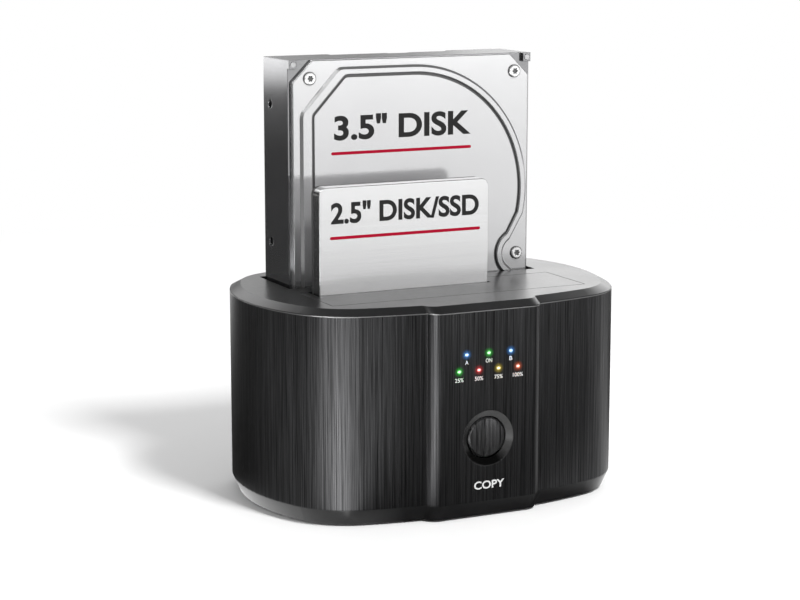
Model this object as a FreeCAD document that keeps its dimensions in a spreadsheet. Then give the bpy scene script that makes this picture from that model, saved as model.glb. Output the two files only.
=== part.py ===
import FreeCAD, Part
import math
import os
import Sketcher

# A twin-bay drive duplicator with a 3.5 inch and a 2.5 inch drive standing in it.
# Millimetres, +Z up, +X to the right and -Y towards the user.
# The origin is the centre of the footprint on the surface that the rubber feet stand on.

TABLE = [
    # The oval housing, drawn with tangent arcs about its own centre, and its margins round the bays.
    ("side_margin", 20.5),
    ("rear_margin", 18.5),
    ("front_radius", 188.5),
    ("end_radius", 71.0),
    ("corner_radius", 28.0),
    ("pad_depth", 2.3),
    ("pad_flat", 18.0),
    ("pad_foot", 23.0),
    ("foot_stand", 0.8),
    ("tray_height", 5.8),
    ("tray_inset", 2.6),
    ("sleeve_height", 70.8),
    ("sleeve_wall", 1.5),
    ("cover_height", 2.1),
    ("cover_inset", 4.1),
    ("seam_gap", 0.2),
    ("lip_wall", 1.5),
    ("cover_lip", 4.0),
    ("tray_lip", 3.0),
    ("tray_floor", 2.2),
    # Rubber feet and the screws that close the housing.
    ("foot_x", 49.0),
    ("foot_y", 28.0),
    ("foot_radius", 5.0),
    ("foot_height", 1.8),
    ("post_inset", 10.9),
    ("post_y", 20.0),
    ("post_radius", 3.4),
    ("post_base", 8.0),
    ("post_hole_depth", 8.0),
    ("case_screw_radius", 1.4),
    ("case_screw_length", 10.0),
    ("case_head_radius", 2.7),
    ("case_head_height", 2.0),
    ("case_bore_radius", 3.1),
    ("case_bore_depth", 3.4),
    # The two bays and the moulded guide that lines them.
    ("bay_gap", 9.0),
    ("bay_corner", 0.7),
    ("guide_wall", 2.0),
    ("guide_floor", 14.9),
    ("ledge_height", 2.0),
    ("flap_recess", 2.6),
    ("partition_slot", 2.6),
    ("guide_ear_y", 28.0),
    ("guide_ear_radius", 3.0),
    ("guide_web_half", 2.4),
    ("guide_ear_height", 2.4),
    ("ear_post_height", 6.0),
    ("guide_screw_radius", 1.0),
    # The dust flaps and their hinges.
    ("flap_height", 1.8),
    ("flap_gap", 0.3),
    ("hinge_drop", 4.1),
    ("hinge_ahead", 3.2),
    ("hinge_inset", 8.4),
    ("pin_radius", 1.0),
    ("hinge_gap", 0.05),
    ("knuckle_radius", 1.7),
    ("arm_width", 3.0),
    ("arm_reach", 6.0),
    ("arm_gap", 0.3),
    ("hinge_pocket_drop", 9.0),
    ("hinge_cheek", 2.0),
    ("spring_room", 2.0),
    ("spring_wire", 0.4),
    ("spring_play", 0.15),
    ("spring_pitch", 0.44),
    ("spring_turns", 3.25),
    ("spring_leg", 3.0),
    ("rear_flap_angle", 90.0),
    ("notch_gap", 0.8),
    # The drives.
    ("large_width", 101.6),
    ("large_depth", 26.1),
    ("large_length", 147.0),
    ("large_end", 17.2),
    ("small_width", 69.85),
    ("small_depth", 7.0),
    ("small_length", 100.4),
    ("small_end", 18.8),
    ("drive_side_gap", 1.6),
    ("drive_back_gap", 2.6),
    ("drive_front_gap", 1.2),
    ("small_side_gap", 4.0),
    ("lid_height", 3.0),
    ("lid_inset", 1.2),
    ("lid_cut", 8.0),
    ("lid_step", 1.1),
    ("lid_step_bevel", 0.9),
    ("lid_corner_outer", 4.0),
    ("lid_corner_inner", 3.0),
    ("lid_field_drop", 0.5),
    ("lid_field_bevel", 0.4),
    ("lid_groove_width", 0.9),
    ("lid_groove_depth", 0.5),
    ("lid_edge", 0.4),
    ("disc_drop", 52.0),
    ("disc_inset_outer", 1.8),
    ("disc_inset_inner", 4.8),
    ("lid_inset_outer", 4.1),
    ("lid_inset_inner", 8.8),
    ("lid_bevel_outer", 15.6),
    ("lid_bevel_inner", 13.4),
    ("lid_low_margin", 4.9),
    ("lid_low_bevel", 6.0),
    ("lid_top_gap", 0.3),
    ("screw_inset_left", 8.1),
    ("screw_inset_right", 7.4),
    ("screw_inset_mid", 5.8),
    ("screw_drop", 6.9),
    ("screw_mid_rise", 69.0),
    ("neck_outer", 6.2),
    ("neck_inner", 9.2),
    ("lid_screw_radius", 2.5),
    ("lid_screw_height", 1.0),
    ("lid_shank_radius", 1.2),
    ("lid_crown_radius", 1.9),
    ("lid_socket_radius", 0.9),
    ("lid_lobe_radius", 0.35),
    ("corner_post_width", 3.2),
    ("corner_post_height", 3.4),
    ("corner_post_front", 1.6),
    ("corner_pin_radius", 1.05),
    ("corner_pin_stand", 0.3),
    ("side_hole_radius", 1.75),
    ("side_hole_depth", 4.0),
    ("side_hole_back", 6.35),
    ("side_hole_high", 17.4),
    ("side_hole_mid", 69.7),
    ("side_hole_low", 118.5),
    ("board_recess", 1.8),
    ("drive_board_inset", 4.8),
    ("drive_board_height", 78.0),
    ("drive_board_thick", 1.4),
    ("motor_radius", 18.0),
    ("motor_depth", 1.2),
    ("hub_radius", 11.0),
    ("hub_height", 0.8),
    ("relief_depth", 3.5),
    ("relief_deep", 2.0),
    ("relief_height", 12.0),
    ("small_lid", 5.2),
    ("small_corner", 3.0),
    ("small_screw_radius", 1.6),
    ("small_screw_inset", 4.1),
    ("small_screw_depth", 1.5),
    # The serial ATA pair: a plug in each drive and an upright socket in each bay.
    ("plug_offset_large", 20.68),
    ("plug_offset_small", 4.8),
    ("plug_back", 3.5),
    ("plug_width", 42.0),
    ("plug_depth", 5.4),
    ("plug_height", 8.0),
    ("plug_hollow_width", 38.4),
    ("plug_hollow_depth", 4.5),
    ("plug_hollow_height", 5.4),
    ("tongue_thick", 1.2),
    ("tongue_height", 4.4),
    ("signal_width", 10.6),
    ("power_width", 20.8),
    ("tongue_gap", 2.4),
    ("mating_gap", 0.3),
    ("socket_width", 42.0),
    ("socket_depth", 7.0),
    ("socket_top", 21.5),
    # Boards.
    ("board_top", 10.1),
    ("board_thick", 1.6),
    ("board_half", 46.0),
    ("board_front", 23.0),
    ("board_back", 40.9),
    ("board_screw_x", 43.0),
    ("board_screw_inset", 3.4),
    ("standoff_radius", 3.0),
    ("board_screw_radius", 1.0),
    ("board_screw_length", 6.0),
    ("board_head_radius", 2.2),
    ("board_head_height", 1.4),
    ("chip_side", 9.0),
    ("chip_height", 1.2),
    ("flash_length", 5.2),
    ("flash_width", 4.0),
    ("can_radius", 3.15),
    ("can_apart", 9.45),
    ("can_height", 4.2),
    ("coil_side", 4.0),
    ("coil_height", 3.0),
    ("front_board_behind", 12.5),
    ("front_board_thick", 1.6),
    ("front_board_half", 19.0),
    ("front_board_below", 10.1),
    ("front_board_drop", 13.5),
    ("pillar_x", 14.0),
    ("pillar_below", 6.1),
    ("pillar_drop", 31.5),
    ("pillar_radius", 3.0),
    # The lamps of the front panel.
    ("lamp_row_high", 17.8),
    ("lamp_row_low", 23.8),
    ("lamp_pitch_high", 9.0),
    ("lamp_pitch_low", 8.0),
    ("lamp_hole", 0.85),
    ("lamp_gap", 0.05),
    ("lamp_bar_half", 15.5),
    ("lamp_bar_thick", 1.4),
    ("lamp_bar_margin", 2.6),
    ("lamp_pipe_radius", 1.2),
    ("lamp_foot_radius", 1.6),
    ("lamp_foot_x", 13.4),
    ("lamp_chip", 1.6),
    ("lamp_chip_height", 0.8),
    # The clone button.
    ("button_drop", 49.4),
    ("bezel_radius", 10.35),
    ("bezel_mouth", 7.9),
    ("bezel_dish", 1.4),
    ("bezel_wall", 1.1),
    ("bezel_length", 6.5),
    ("bezel_flange", 11.6),
    ("bezel_flange_height", 1.2),
    ("bezel_land", 0.15),
    ("cap_radius", 7.5),
    ("cap_sink", 0.7),
    ("cap_crown", 0.3),
    ("cap_bevel", 0.6),
    ("cap_wall", 1.6),
    ("cap_stop_gap", 0.1),
    ("cap_flange", 8.6),
    ("cap_flange_height", 0.8),
    ("stem_radius", 1.8),
    ("switch_side", 6.0),
    ("switch_height", 3.4),
    ("plunger_radius", 1.5),
    ("plunger_stand", 1.0),
    ("plunger_depth", 1.8),
    ("plunger_gap", 0.1),
    ("button_travel", 0.6),
    # The connection panel at the back.
    ("panel_half", 36.0),
    ("panel_height", 20.0),
    ("panel_face", 4.5),
    ("panel_wall", 2.0),
    ("panel_rim", 2.0),
    ("panel_wing", 2.4),
    ("wing_thick", 1.6),
    ("port_depth", 14.0),
    ("usb_x", -16.0),
    ("usb_width", 12.2),
    ("usb_height", 11.6),
    ("usb_mouth_width", 8.45),
    ("usb_mouth_height", 7.8),
    ("usb_mouth_low", 1.0),
    ("usb_mouth_depth", 10.0),
    ("usb_tongue_width", 5.6),
    ("usb_tongue_height", 3.0),
    ("usb_upper_width", 6.4),
    ("usb_upper_height", 1.8),
    ("jack_x", 6.0),
    ("jack_width", 9.0),
    ("jack_height", 10.6),
    ("jack_bore", 3.15),
    ("jack_depth", 9.5),
    ("jack_pin", 1.05),
    ("switch_x", 25.0),
    ("switch_width", 15.0),
    ("switch_tall", 13.0),
    ("switch_stand", 0.8),
    ("switch_depth", 11.0),
    ("rocker_width", 11.0),
    ("rocker_half", 4.3),
    ("rocker_out", 2.6),
    ("rocker_vee", 1.5),
    ("rocker_back", 2.4),
    ("rocker_gap", 0.4),
    ("rocker_pivot_in", 0.6),
    ("rocker_pin", 1.0),
    ("rocker_pin_length", 1.0),
    ("rocker_angle", 12.0),
    ("port_gap", 0.2),
]

doc = FreeCAD.newDocument("drive_duplicator")
sheet = doc.addObject("Spreadsheet::Sheet", "Sizes")
for row, (name, number) in enumerate(TABLE, 1):
    sheet.set(f"A{row}", name)
    sheet.set(f"B{row}", str(number))
    sheet.setAlias(f"B{row}", name)
doc.recompute()


class Size:
    """A length with its present number and the sheet expression that it is bound by."""

    def __init__(self, number, text):
        self.number = float(number)
        self.text = text

    def join(self, other, sign, number):
        return Size(number, f"({self.text} {sign} {sized(other).text})")

    def __add__(self, other):
        return self.join(other, "+", self.number + sized(other).number)

    def __sub__(self, other):
        return self.join(other, "-", self.number - sized(other).number)

    def __mul__(self, other):
        return self.join(other, "*", self.number * sized(other).number)

    def __truediv__(self, other):
        return self.join(other, "/", self.number / sized(other).number)

    def __radd__(self, other):
        return sized(other) + self

    def __rsub__(self, other):
        return sized(other) - self

    def __rmul__(self, other):
        return sized(other) * self

    def __neg__(self):
        return Size(-self.number, f"(0 - {self.text})")

    def root(self):
        return Size(math.sqrt(self.number), f"sqrt({self.text})")


def sized(number):
    """A plain number as a Size."""
    return number if isinstance(number, Size) else Size(number, repr(float(number)))


class Sheet:
    """The cells of the sheet by name."""

    def __getattr__(self, name):
        return Size(getattr(sheet, name), f"Sizes.{name}")


S = Sheet()
ZERO = sized(0)


# Levels and places that several pieces share.

TRAY_Z = S.foot_stand
SLEEVE_Z = TRAY_Z + S.tray_height
COVER_Z = SLEEVE_Z + S.sleeve_height
TOP_Z = COVER_Z + S.cover_height
LARGE_HALF = S.large_width / 2
BAY_HALF = LARGE_HALF + S.drive_side_gap
BAY_DEPTH = S.large_depth + S.drive_front_gap + S.drive_back_gap
BAY_PITCH = BAY_DEPTH + S.bay_gap
HALF_LENGTH = BAY_HALF + S.side_margin
HALF_DEPTH = BAY_PITCH / 2 + BAY_DEPTH / 2 + S.rear_margin
FRAME_SHIFT = S.pad_depth / 2
PANEL_Y = HALF_DEPTH + S.pad_depth
FRONT_BOARD_Y = PANEL_Y - S.front_board_behind

BAY = {"front": -BAY_PITCH / 2, "rear": BAY_PITCH / 2}
BAY_FRONT = {side: BAY[side] - BAY_DEPTH / 2 for side in BAY}
BAY_BACK = {side: BAY[side] + BAY_DEPTH / 2 for side in BAY}
LARGE_BACK = BAY_BACK["rear"] - S.drive_back_gap
SMALL_BACK = BAY_BACK["front"] - S.drive_back_gap
LARGE_FRONT = LARGE_BACK - S.large_depth
SMALL_FRONT = SMALL_BACK - S.small_depth
SMALL_X = S.small_width / 2 - BAY_HALF + S.small_side_gap
LARGE_TOP = S.large_end + S.large_length
LID_FLANGE = LARGE_FRONT + S.lid_step
LID_BEVEL_ANGLE = math.radians(47.2)
SHOULDER_ANGLE = math.radians(-12.5)
NECK_ANGLE = math.radians(60)
RELIEF_SHARES = (-0.48, -0.02, 0.16, 0.52)
LOBES = [math.radians(60 * step) for step in range(6)]
SMALL_TOP = S.small_end + S.small_length
SOCKET = {
    "front": (SMALL_X - S.plug_offset_small, SMALL_BACK - S.plug_back),
    "rear": (-S.plug_offset_large, LARGE_BACK - S.plug_back),
}
HINGE_Z = TOP_Z - S.hinge_drop
HINGE_Y = {side: BAY_FRONT[side] - S.hinge_ahead for side in BAY}
HINGE_X = BAY_HALF - S.hinge_inset
HINGE_ROOM = S.arm_width / 2 + S.spring_room
GUIDE_FRONT = BAY_FRONT["front"] - S.flap_recess - S.guide_wall
GUIDE_BACK = BAY_BACK["rear"] + S.guide_wall
EAR_X = BAY_HALF + S.guide_wall + S.guide_ear_radius + S.seam_gap / 2
EAR_TOP = COVER_Z - S.ear_post_height
POST_X = HALF_LENGTH - S.post_inset
BOARD_SCREW_Y = (-S.board_front + S.board_screw_inset, S.board_back - S.board_screw_inset)
BUTTON_Z = TOP_Z - S.button_drop
PANEL_FACE = HALF_DEPTH - S.panel_face
PORT_FRONT = PANEL_FACE - S.port_depth
BOARD_Z = S.board_top - S.board_thick
SIDES = (-1, 1)
CORNERS = [(x, y) for x in SIDES for y in SIDES]


# Making primitives, booleans and nodes.

TURNS = {
    "Z": FreeCAD.Rotation(),
    "X": FreeCAD.Rotation(FreeCAD.Vector(0, 1, 0), 90),
    "Y": FreeCAD.Rotation(FreeCAD.Vector(1, 0, 0), -90),
}
NODES = {}


def bind(item, **sizes):
    for name, size in sizes.items():
        item.setExpression(name, sized(size).text)


def place(item, x, y, z):
    for name, size in zip("xyz", (x, y, z)):
        item.setExpression(f"Placement.Base.{name}", sized(size).text)
    return item


def block(x, y, z):
    """A box between a low and a high value on each axis."""
    item = doc.addObject("Part::Box", "Block")
    bind(item, Length=x[1] - x[0], Width=y[1] - y[0], Height=z[1] - z[0])
    return place(item, x[0], y[0], z[0])


def around(middle, half):
    return (middle - half, middle + half)


def rod(axis, x, y, z, radius, length):
    """A cylinder from the point x, y, z along an axis."""
    item = doc.addObject("Part::Cylinder", "Rod")
    item.Placement = FreeCAD.Placement(FreeCAD.Vector(), TURNS[axis])
    bind(item, Radius=radius, Height=length)
    return place(item, x, y, z)


def cone(axis, x, y, z, radius, end_radius, length):
    item = doc.addObject("Part::Cone", "Cone")
    item.Placement = FreeCAD.Placement(FreeCAD.Vector(), TURNS[axis])
    bind(item, Radius1=radius, Radius2=end_radius, Height=length)
    return place(item, x, y, z)


def fuse(*items):
    if len(items) == 1:
        return items[0]
    item = doc.addObject("Part::MultiFuse", "Joined")
    item.Shapes = list(items)
    return item


def cut(base, *tools):
    item = doc.addObject("Part::Cut", "Cut")
    item.Base = base
    item.Tool = fuse(*tools)
    return item


def node(label, *items, at=(ZERO, ZERO, ZERO), angle=None):
    """Names a piece, or a set of like pieces, and sets it in the frame of the whole part.
    A piece drawn about its own X axis pivot may be turned there by an angle in degrees."""
    item = items[0]
    if len(items) > 1 or item.TypeId in ("Part::Box", "Part::Cylinder", "Part::Cone"):
        item = doc.addObject("Part::Compound", label)
        item.Links = list(items)
    item.Label = label
    if angle is not None:
        turn = FreeCAD.Rotation(FreeCAD.Vector(1, 0, 0), angle.number)
        item.Placement = FreeCAD.Placement(FreeCAD.Vector(), turn)
        item.setExpression("Placement.Rotation.Angle", angle.text)
    place(item, at[0], at[1] + FRAME_SHIFT, at[2])
    NODES[label] = item
    return item


# Making bodies from sketches. A level is a place along the world axis that a plane faces, and
# pads and pockets always run from there towards plus.

ALONG = {"XY": 1, "XZ": -1, "YZ": 1}


def new_body(name):
    return doc.addObject("PartDesign::Body", name)


def sketch(body, plane, level):
    item = body.newObject("Sketcher::SketchObject", f"{plane}_sketch")
    support = [f for f in body.Origin.OriginFeatures if f.Role == f"{plane}_Plane"]
    item.AttachmentSupport = [(support[0], "")]
    item.MapMode = "FlatFace"
    item.setExpression("AttachmentOffset.Base.z", (sized(level) * ALONG[plane]).text)
    return item


def pad(body, profile, length):
    item = body.newObject("PartDesign::Pad", "Pad")
    item.Profile = profile
    item.Reversed = profile.Name.startswith("XZ")
    bind(item, Length=length)
    return item


def pocket(body, profile, length):
    item = body.newObject("PartDesign::Pocket", "Pocket")
    item.Profile = profile
    item.Reversed = not profile.Name.startswith("XZ")
    bind(item, Length=length)
    return item


def loft(body, low, high):
    item = body.newObject("PartDesign::AdditiveLoft", "Loft")
    item.Profile = low
    item.Sections = [high]
    item.Ruled = True
    return item


def lying_at(level):
    """Whether an edge lies in the upright plane at a depth."""
    return lambda edge: all(abs(v.Point.y - level.number) < 1e-4 for v in edge.Vertexes)


def fillet_where(body, radius, test, kind="PartDesign::Fillet"):
    """Rounds, or bevels, the edges of the body so far that pass a test."""
    doc.recompute()
    tip = body.Tip
    names = [f"Edge{i}" for i, edge in enumerate(tip.Shape.Edges, 1) if test(edge)]
    item = body.newObject(kind, kind.split("::")[1])
    item.Base = (tip, names)
    bind(item, **{"Radius" if kind.endswith("Fillet") else "Size": radius})
    return item


def constrain(item, kind, *places, size=None):
    """Adds a constraint and binds its value."""
    if size is None:
        item.addConstraint(Sketcher.Constraint(kind, *places))
        return
    index = item.addConstraint(Sketcher.Constraint(kind, *places, size.number))
    item.setExpression(f"Constraints[{index}]", size.text)


def fix_point(item, geometry, end, x, y):
    constrain(item, "DistanceX", -1, 1, geometry, end, size=sized(x))
    constrain(item, "DistanceY", -1, 1, geometry, end, size=sized(y))


def circle(item, x, y, radius):
    centre = FreeCAD.Vector(sized(x).number, sized(y).number, 0)
    index = item.addGeometry(Part.Circle(centre, FreeCAD.Vector(0, 0, 1), radius.number), False)
    fix_point(item, index, 3, x, y)
    constrain(item, "Radius", index, size=radius)


def arc_between(start, end, radius, bulge):
    """The short arc from start to end, with its middle to the left (bulge 1) or right (-1) of the chord.
    Gives it counter-clockwise, and whether that swaps its ends."""
    chord = (end - start) * 0.5
    across = FreeCAD.Vector(-chord.y, chord.x, 0).normalize()
    sagitta = math.sqrt(max(radius**2 - chord.Length**2, 0.0))
    centre = start + chord - across * sagitta * bulge
    swapped = bulge > 0
    first, last = (end, start) if swapped else (start, end)
    angles = [math.atan2(p.y - centre.y, p.x - centre.x) for p in (first, last)]
    full = Part.Circle(centre, FreeCAD.Vector(0, 0, 1), radius)
    return Part.ArcOfCircle(full, angles[0], angles[1]), swapped


def profile(item, points):
    """A closed outline. Each point is x, y, or x, y, radius, bulge where an arc runs to the next."""
    spots = [FreeCAD.Vector(sized(p[0]).number, sized(p[1]).number, 0) for p in points]
    ends = []
    for i, point in enumerate(points):
        start, end = spots[i], spots[(i + 1) % len(points)]
        if len(point) == 2:
            index = item.addGeometry(Part.LineSegment(start, end), False)
            ends.append((index, 1, 2))
            continue
        curve, swapped = arc_between(start, end, point[2].number, point[3])
        index = item.addGeometry(curve, False)
        ends.append((index, 2, 1) if swapped else (index, 1, 2))
        constrain(item, "Radius", index, size=point[2])
    for i, point in enumerate(points):
        index, first, last = ends[i]
        after = ends[(i + 1) % len(points)]
        constrain(item, "Coincident", index, last, after[0], after[1])
        fix_point(item, index, first, point[0], point[1])


def rectangle(item, x, y):
    profile(item, [(x[0], y[0]), (x[1], y[0]), (x[1], y[1]), (x[0], y[1])])


def rounded(item, x, y, radius):
    """A rectangle with rounded corners."""
    x_in = (x[0] + radius, x[1] - radius)
    y_in = (y[0] + radius, y[1] - radius)
    profile(
        item,
        [
            (x_in[0], y[0]), (x_in[1], y[0], radius, -1),
            (x[1], y_in[0]), (x[1], y_in[1], radius, -1),
            (x_in[1], y[1]), (x_in[0], y[1], radius, -1),
            (x[0], y_in[1]), (x[0], y_in[0], radius, -1),
        ],
    )


def oval_arcs(inset):
    """The arcs of the oval, inset by a distance, counter-clockwise from the front: centre, radius, angles."""
    front, end, corner = (S.front_radius, S.end_radius, S.corner_radius)
    front_y = (HALF_DEPTH - front).number
    end_x = (HALF_LENGTH - end).number
    reach_front = (front - corner).number
    reach_end = (end - corner).number
    span = math.hypot(end_x, front_y)
    along = (reach_front**2 - reach_end**2 + span**2) / (2 * span)
    off = math.sqrt(reach_front**2 - along**2)
    ux, uy = end_x / span, -front_y / span
    corner_x = along * ux + off * uy
    corner_y = -(front_y + along * uy - off * ux)
    lean = math.atan2(corner_x, corner_y - front_y)
    rise = math.atan2(corner_y, corner_x - end_x)
    quarter = math.pi / 2
    radii = [(size - inset).number for size in (front, corner, end)]
    arcs = [((0, -front_y), radii[0], -quarter - lean, -quarter + lean)]
    for turn, x, y in ((0, 1, -1), (1, 1, 1), (2, -1, 1), (3, -1, -1)):
        low, high = (-quarter + lean, -rise) if turn % 2 == 0 else (rise, quarter - lean)
        base = turn // 2 * math.pi
        arcs.append(((x * corner_x, y * corner_y), radii[1], low + base, high + base))
        if turn == 0:
            arcs.append(((end_x, 0), radii[2], -rise, rise))
        if turn == 1:
            arcs.append(((0, front_y), radii[0], quarter - lean, quarter + lean))
        if turn == 2:
            arcs.append(((-end_x, 0), radii[2], math.pi - rise, math.pi + rise))
    return arcs


def oval(item, inset, pad_inset=None, foot=None):
    """The housing outline, inset, with the raised panel at its front where pad_inset is given."""
    inset = sized(inset)
    arcs = oval_arcs(inset)
    up = FreeCAD.Vector(0, 0, 1)
    front_y = S.front_radius - HALF_DEPTH
    end_x = HALF_LENGTH - S.end_radius
    centres = [(ZERO, front_y), None, (end_x, ZERO), None, (ZERO, -front_y), None, (-end_x, ZERO), None]
    radii = [S.front_radius, S.corner_radius, S.end_radius, S.corner_radius] * 2

    def add_arc(centre, radius, low, high):
        full = Part.Circle(FreeCAD.Vector(centre[0], centre[1], 0), up, radius)
        return item.addGeometry(Part.ArcOfCircle(full, low, high), False)

    chain = []
    for index, (centre, radius, low, high) in enumerate(arcs):
        if index or pad_inset is None:
            chain.append((add_arc(centre, radius, low, high), index))
            continue
        foot_turn = math.asin(foot.number / radius)
        down = -math.pi / 2
        right = (add_arc(centre, radius, down + foot_turn, high), 0)
        left = (add_arc(centre, radius, low, down - foot_turn), 0)
        chain.append(right)
    if pad_inset is not None:
        chain.append(left)
    for first, second in zip(chain, chain[1:] + chain[:1]):
        if pad_inset is None or (first[0], second[0]) != (left[0], right[0]):
            constrain(item, "Tangent", first[0], 2, second[0], 1)
    for geometry, index in chain:
        constrain(item, "Radius", geometry, size=radii[index] - inset)
        if centres[index]:
            fix_point(item, geometry, 3, *centres[index])
    if pad_inset is None:
        return
    flat_y = -(PANEL_Y - pad_inset)
    rise_y = front_y.number - math.sqrt(arcs[0][1] ** 2 - foot.number**2) - flat_y.number
    run_x = (foot - S.pad_flat).number
    bend = (run_x**2 + rise_y**2) / (2 * rise_y)
    sweep = math.asin(run_x / bend)
    flat = item.addGeometry(
        Part.LineSegment(
            FreeCAD.Vector(-S.pad_flat.number, flat_y.number, 0),
            FreeCAD.Vector(S.pad_flat.number, flat_y.number, 0),
        ),
        False,
    )
    down = -math.pi / 2
    centre_y = flat_y.number + bend
    bend_left = add_arc((-S.pad_flat.number, centre_y), bend, down - sweep, down)
    bend_right = add_arc((S.pad_flat.number, centre_y), bend, down, down + sweep)
    constrain(item, "DistanceX", -1, 1, left[0], 2, size=-foot)
    constrain(item, "DistanceX", -1, 1, right[0], 1, size=foot)
    fix_point(item, flat, 1, -S.pad_flat, flat_y)
    constrain(item, "Horizontal", flat)
    constrain(item, "DistanceX", -1, 1, flat, 2, size=S.pad_flat)
    constrain(item, "Coincident", left[0], 2, bend_left, 1)
    constrain(item, "Tangent", bend_left, 2, flat, 1)
    constrain(item, "Tangent", flat, 2, bend_right, 1)
    constrain(item, "Coincident", bend_right, 2, right[0], 1)


# The housing.


def post_places():
    return [(POST_X * x, S.post_y * y) for x, y in CORNERS]


def ear_places():
    return [(EAR_X * x, S.guide_ear_y * y) for x, y in CORNERS]


def foot_places():
    return [(S.foot_x * x, S.foot_y * y) for x, y in CORNERS]


def board_screw_places():
    return [(S.board_screw_x * x, y) for x in SIDES for y in BOARD_SCREW_Y]


def pillar_places():
    return [(S.pillar_x * x, z) for x in SIDES for z in (BUTTON_Z - S.pillar_below, TOP_Z - S.pillar_drop)]


def lamp_places():
    """The lamps of the front panel: a row of three over a row of four."""
    high = [(S.lamp_pitch_high * i, TOP_Z - S.lamp_row_high) for i in (-1, 0, 1)]
    low = [(S.lamp_pitch_low * i, TOP_Z - S.lamp_row_low) for i in (-1.5, -0.5, 0.5, 1.5)]
    return high + low


def circles(body, plane, level, places, radius):
    item = sketch(body, plane, level)
    for x, y in places:
        circle(item, x, y, radius)
    return item


def side_sleeve():
    """The brushed wrap with the raised front panel, its lamp and button holes, and the rear cut-out."""
    body = new_body("side_sleeve")
    outer = sketch(body, "XY", SLEEVE_Z)
    oval(outer, 0, pad_inset=ZERO, foot=S.pad_foot)
    pad(body, outer, S.sleeve_height)
    inner = sketch(body, "XY", SLEEVE_Z)
    oval(inner, S.sleeve_wall, pad_inset=S.sleeve_wall, foot=S.pad_foot - S.sleeve_wall)
    pocket(body, inner, S.sleeve_height)
    lamps = circles(body, "XZ", -PANEL_Y, lamp_places(), S.lamp_hole)
    pocket(body, lamps, S.sleeve_wall * 2)
    button = circles(body, "XZ", -PANEL_Y, [(ZERO, BUTTON_Z)], S.bezel_radius)
    pocket(body, button, S.sleeve_wall * 2)
    rear = sketch(body, "XZ", BAY["rear"])
    top = SLEEVE_Z + S.panel_height + S.seam_gap
    rectangle(rear, around(ZERO, S.panel_half + S.seam_gap), (SLEEVE_Z - S.seam_gap, top))
    pocket(body, rear, HALF_DEPTH)
    node("side_sleeve", body)


def top_cover():
    """The top plate with its bevel, the two bay mouths, a lip inside the sleeve and the screw posts."""
    body = new_body("top_cover")
    low = sketch(body, "XY", COVER_Z)
    oval(low, 0, pad_inset=ZERO, foot=S.pad_foot)
    high = sketch(body, "XY", TOP_Z)
    oval(high, S.cover_inset, pad_inset=S.cover_inset, foot=S.pad_foot)
    loft(body, low, high)
    lip_z = COVER_Z - S.cover_lip
    lip = sketch(body, "XY", lip_z)
    oval(lip, S.sleeve_wall + S.seam_gap)
    pad(body, lip, S.cover_lip)
    hollow = sketch(body, "XY", lip_z)
    oval(hollow, S.sleeve_wall + S.seam_gap + S.lip_wall)
    pocket(body, hollow, S.cover_lip)
    pad(body, circles(body, "XY", S.post_base, post_places(), S.post_radius), COVER_Z - S.post_base)
    pad(body, circles(body, "XY", EAR_TOP, ear_places(), S.guide_ear_radius), S.ear_post_height)
    for side in BAY:
        mouth = sketch(body, "XY", COVER_Z)
        rounded(mouth, around(ZERO, BAY_HALF), (BAY_FRONT[side], BAY_BACK[side]), S.bay_corner)
        pocket(body, mouth, S.cover_height)
    holes = circles(body, "XY", S.post_base, post_places(), S.case_screw_radius)
    pocket(body, holes, S.post_hole_depth)
    ear_holes = circles(body, "XY", EAR_TOP, ear_places(), S.guide_screw_radius)
    pocket(body, ear_holes, S.ear_post_height - S.cover_height)
    node("top_cover", body)


def base_tray():
    """The bottom tray with its bevel, the lip inside the sleeve, board standoffs and screw bosses."""
    body = new_body("base_tray")
    low = sketch(body, "XY", TRAY_Z)
    oval(low, S.tray_inset, pad_inset=S.tray_inset, foot=S.pad_foot)
    high = sketch(body, "XY", SLEEVE_Z)
    oval(high, 0, pad_inset=ZERO, foot=S.pad_foot)
    loft(body, low, high)
    lip = sketch(body, "XY", SLEEVE_Z)
    oval(lip, S.sleeve_wall + S.seam_gap)
    pad(body, lip, S.tray_lip)
    floor_z = TRAY_Z + S.tray_floor
    hollow = sketch(body, "XY", floor_z)
    oval(hollow, S.sleeve_wall + S.seam_gap + S.lip_wall)
    pocket(body, hollow, SLEEVE_Z + S.tray_lip - floor_z)
    gap = sketch(body, "XY", SLEEVE_Z)
    wide = S.panel_half + S.panel_wing + S.seam_gap
    rectangle(gap, around(ZERO, wide), (BAY_BACK["rear"], HALF_DEPTH))
    pocket(body, gap, S.tray_lip)
    boss_radius = S.case_bore_radius + S.lip_wall
    pad(body, circles(body, "XY", TRAY_Z, post_places(), boss_radius), S.post_base - TRAY_Z)
    pad(body, circles(body, "XY", TRAY_Z, board_screw_places(), S.standoff_radius), BOARD_Z - TRAY_Z)
    pocket(body, circles(body, "XY", TRAY_Z, post_places(), S.case_bore_radius), S.case_bore_depth)
    clear = circles(body, "XY", TRAY_Z, post_places(), S.case_screw_radius + S.seam_gap)
    pocket(body, clear, S.post_base - TRAY_Z)
    pocket(body, circles(body, "XY", TRAY_Z, foot_places(), S.foot_radius), S.foot_height - S.foot_stand)
    depth = S.board_screw_length - S.board_thick
    pocket(body, circles(body, "XY", BOARD_Z - depth, board_screw_places(), S.board_screw_radius), depth)
    node("base_tray", body)


def rubber_feet():
    node("rubber_feet", *[rod("Z", x, y, 0, S.foot_radius, S.foot_height) for x, y in foot_places()])


def case_screws():
    seat = TRAY_Z + S.case_bore_depth
    screws = []
    for x, y in post_places():
        head = rod("Z", x, y, seat - S.case_head_height, S.case_head_radius, S.case_head_height)
        shank = rod("Z", x, y, seat, S.case_screw_radius, S.case_screw_length)
        screws.append(fuse(head, shank))
    node("case_screws", *screws)


# The guide that lines both bays, and its flaps.


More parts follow.
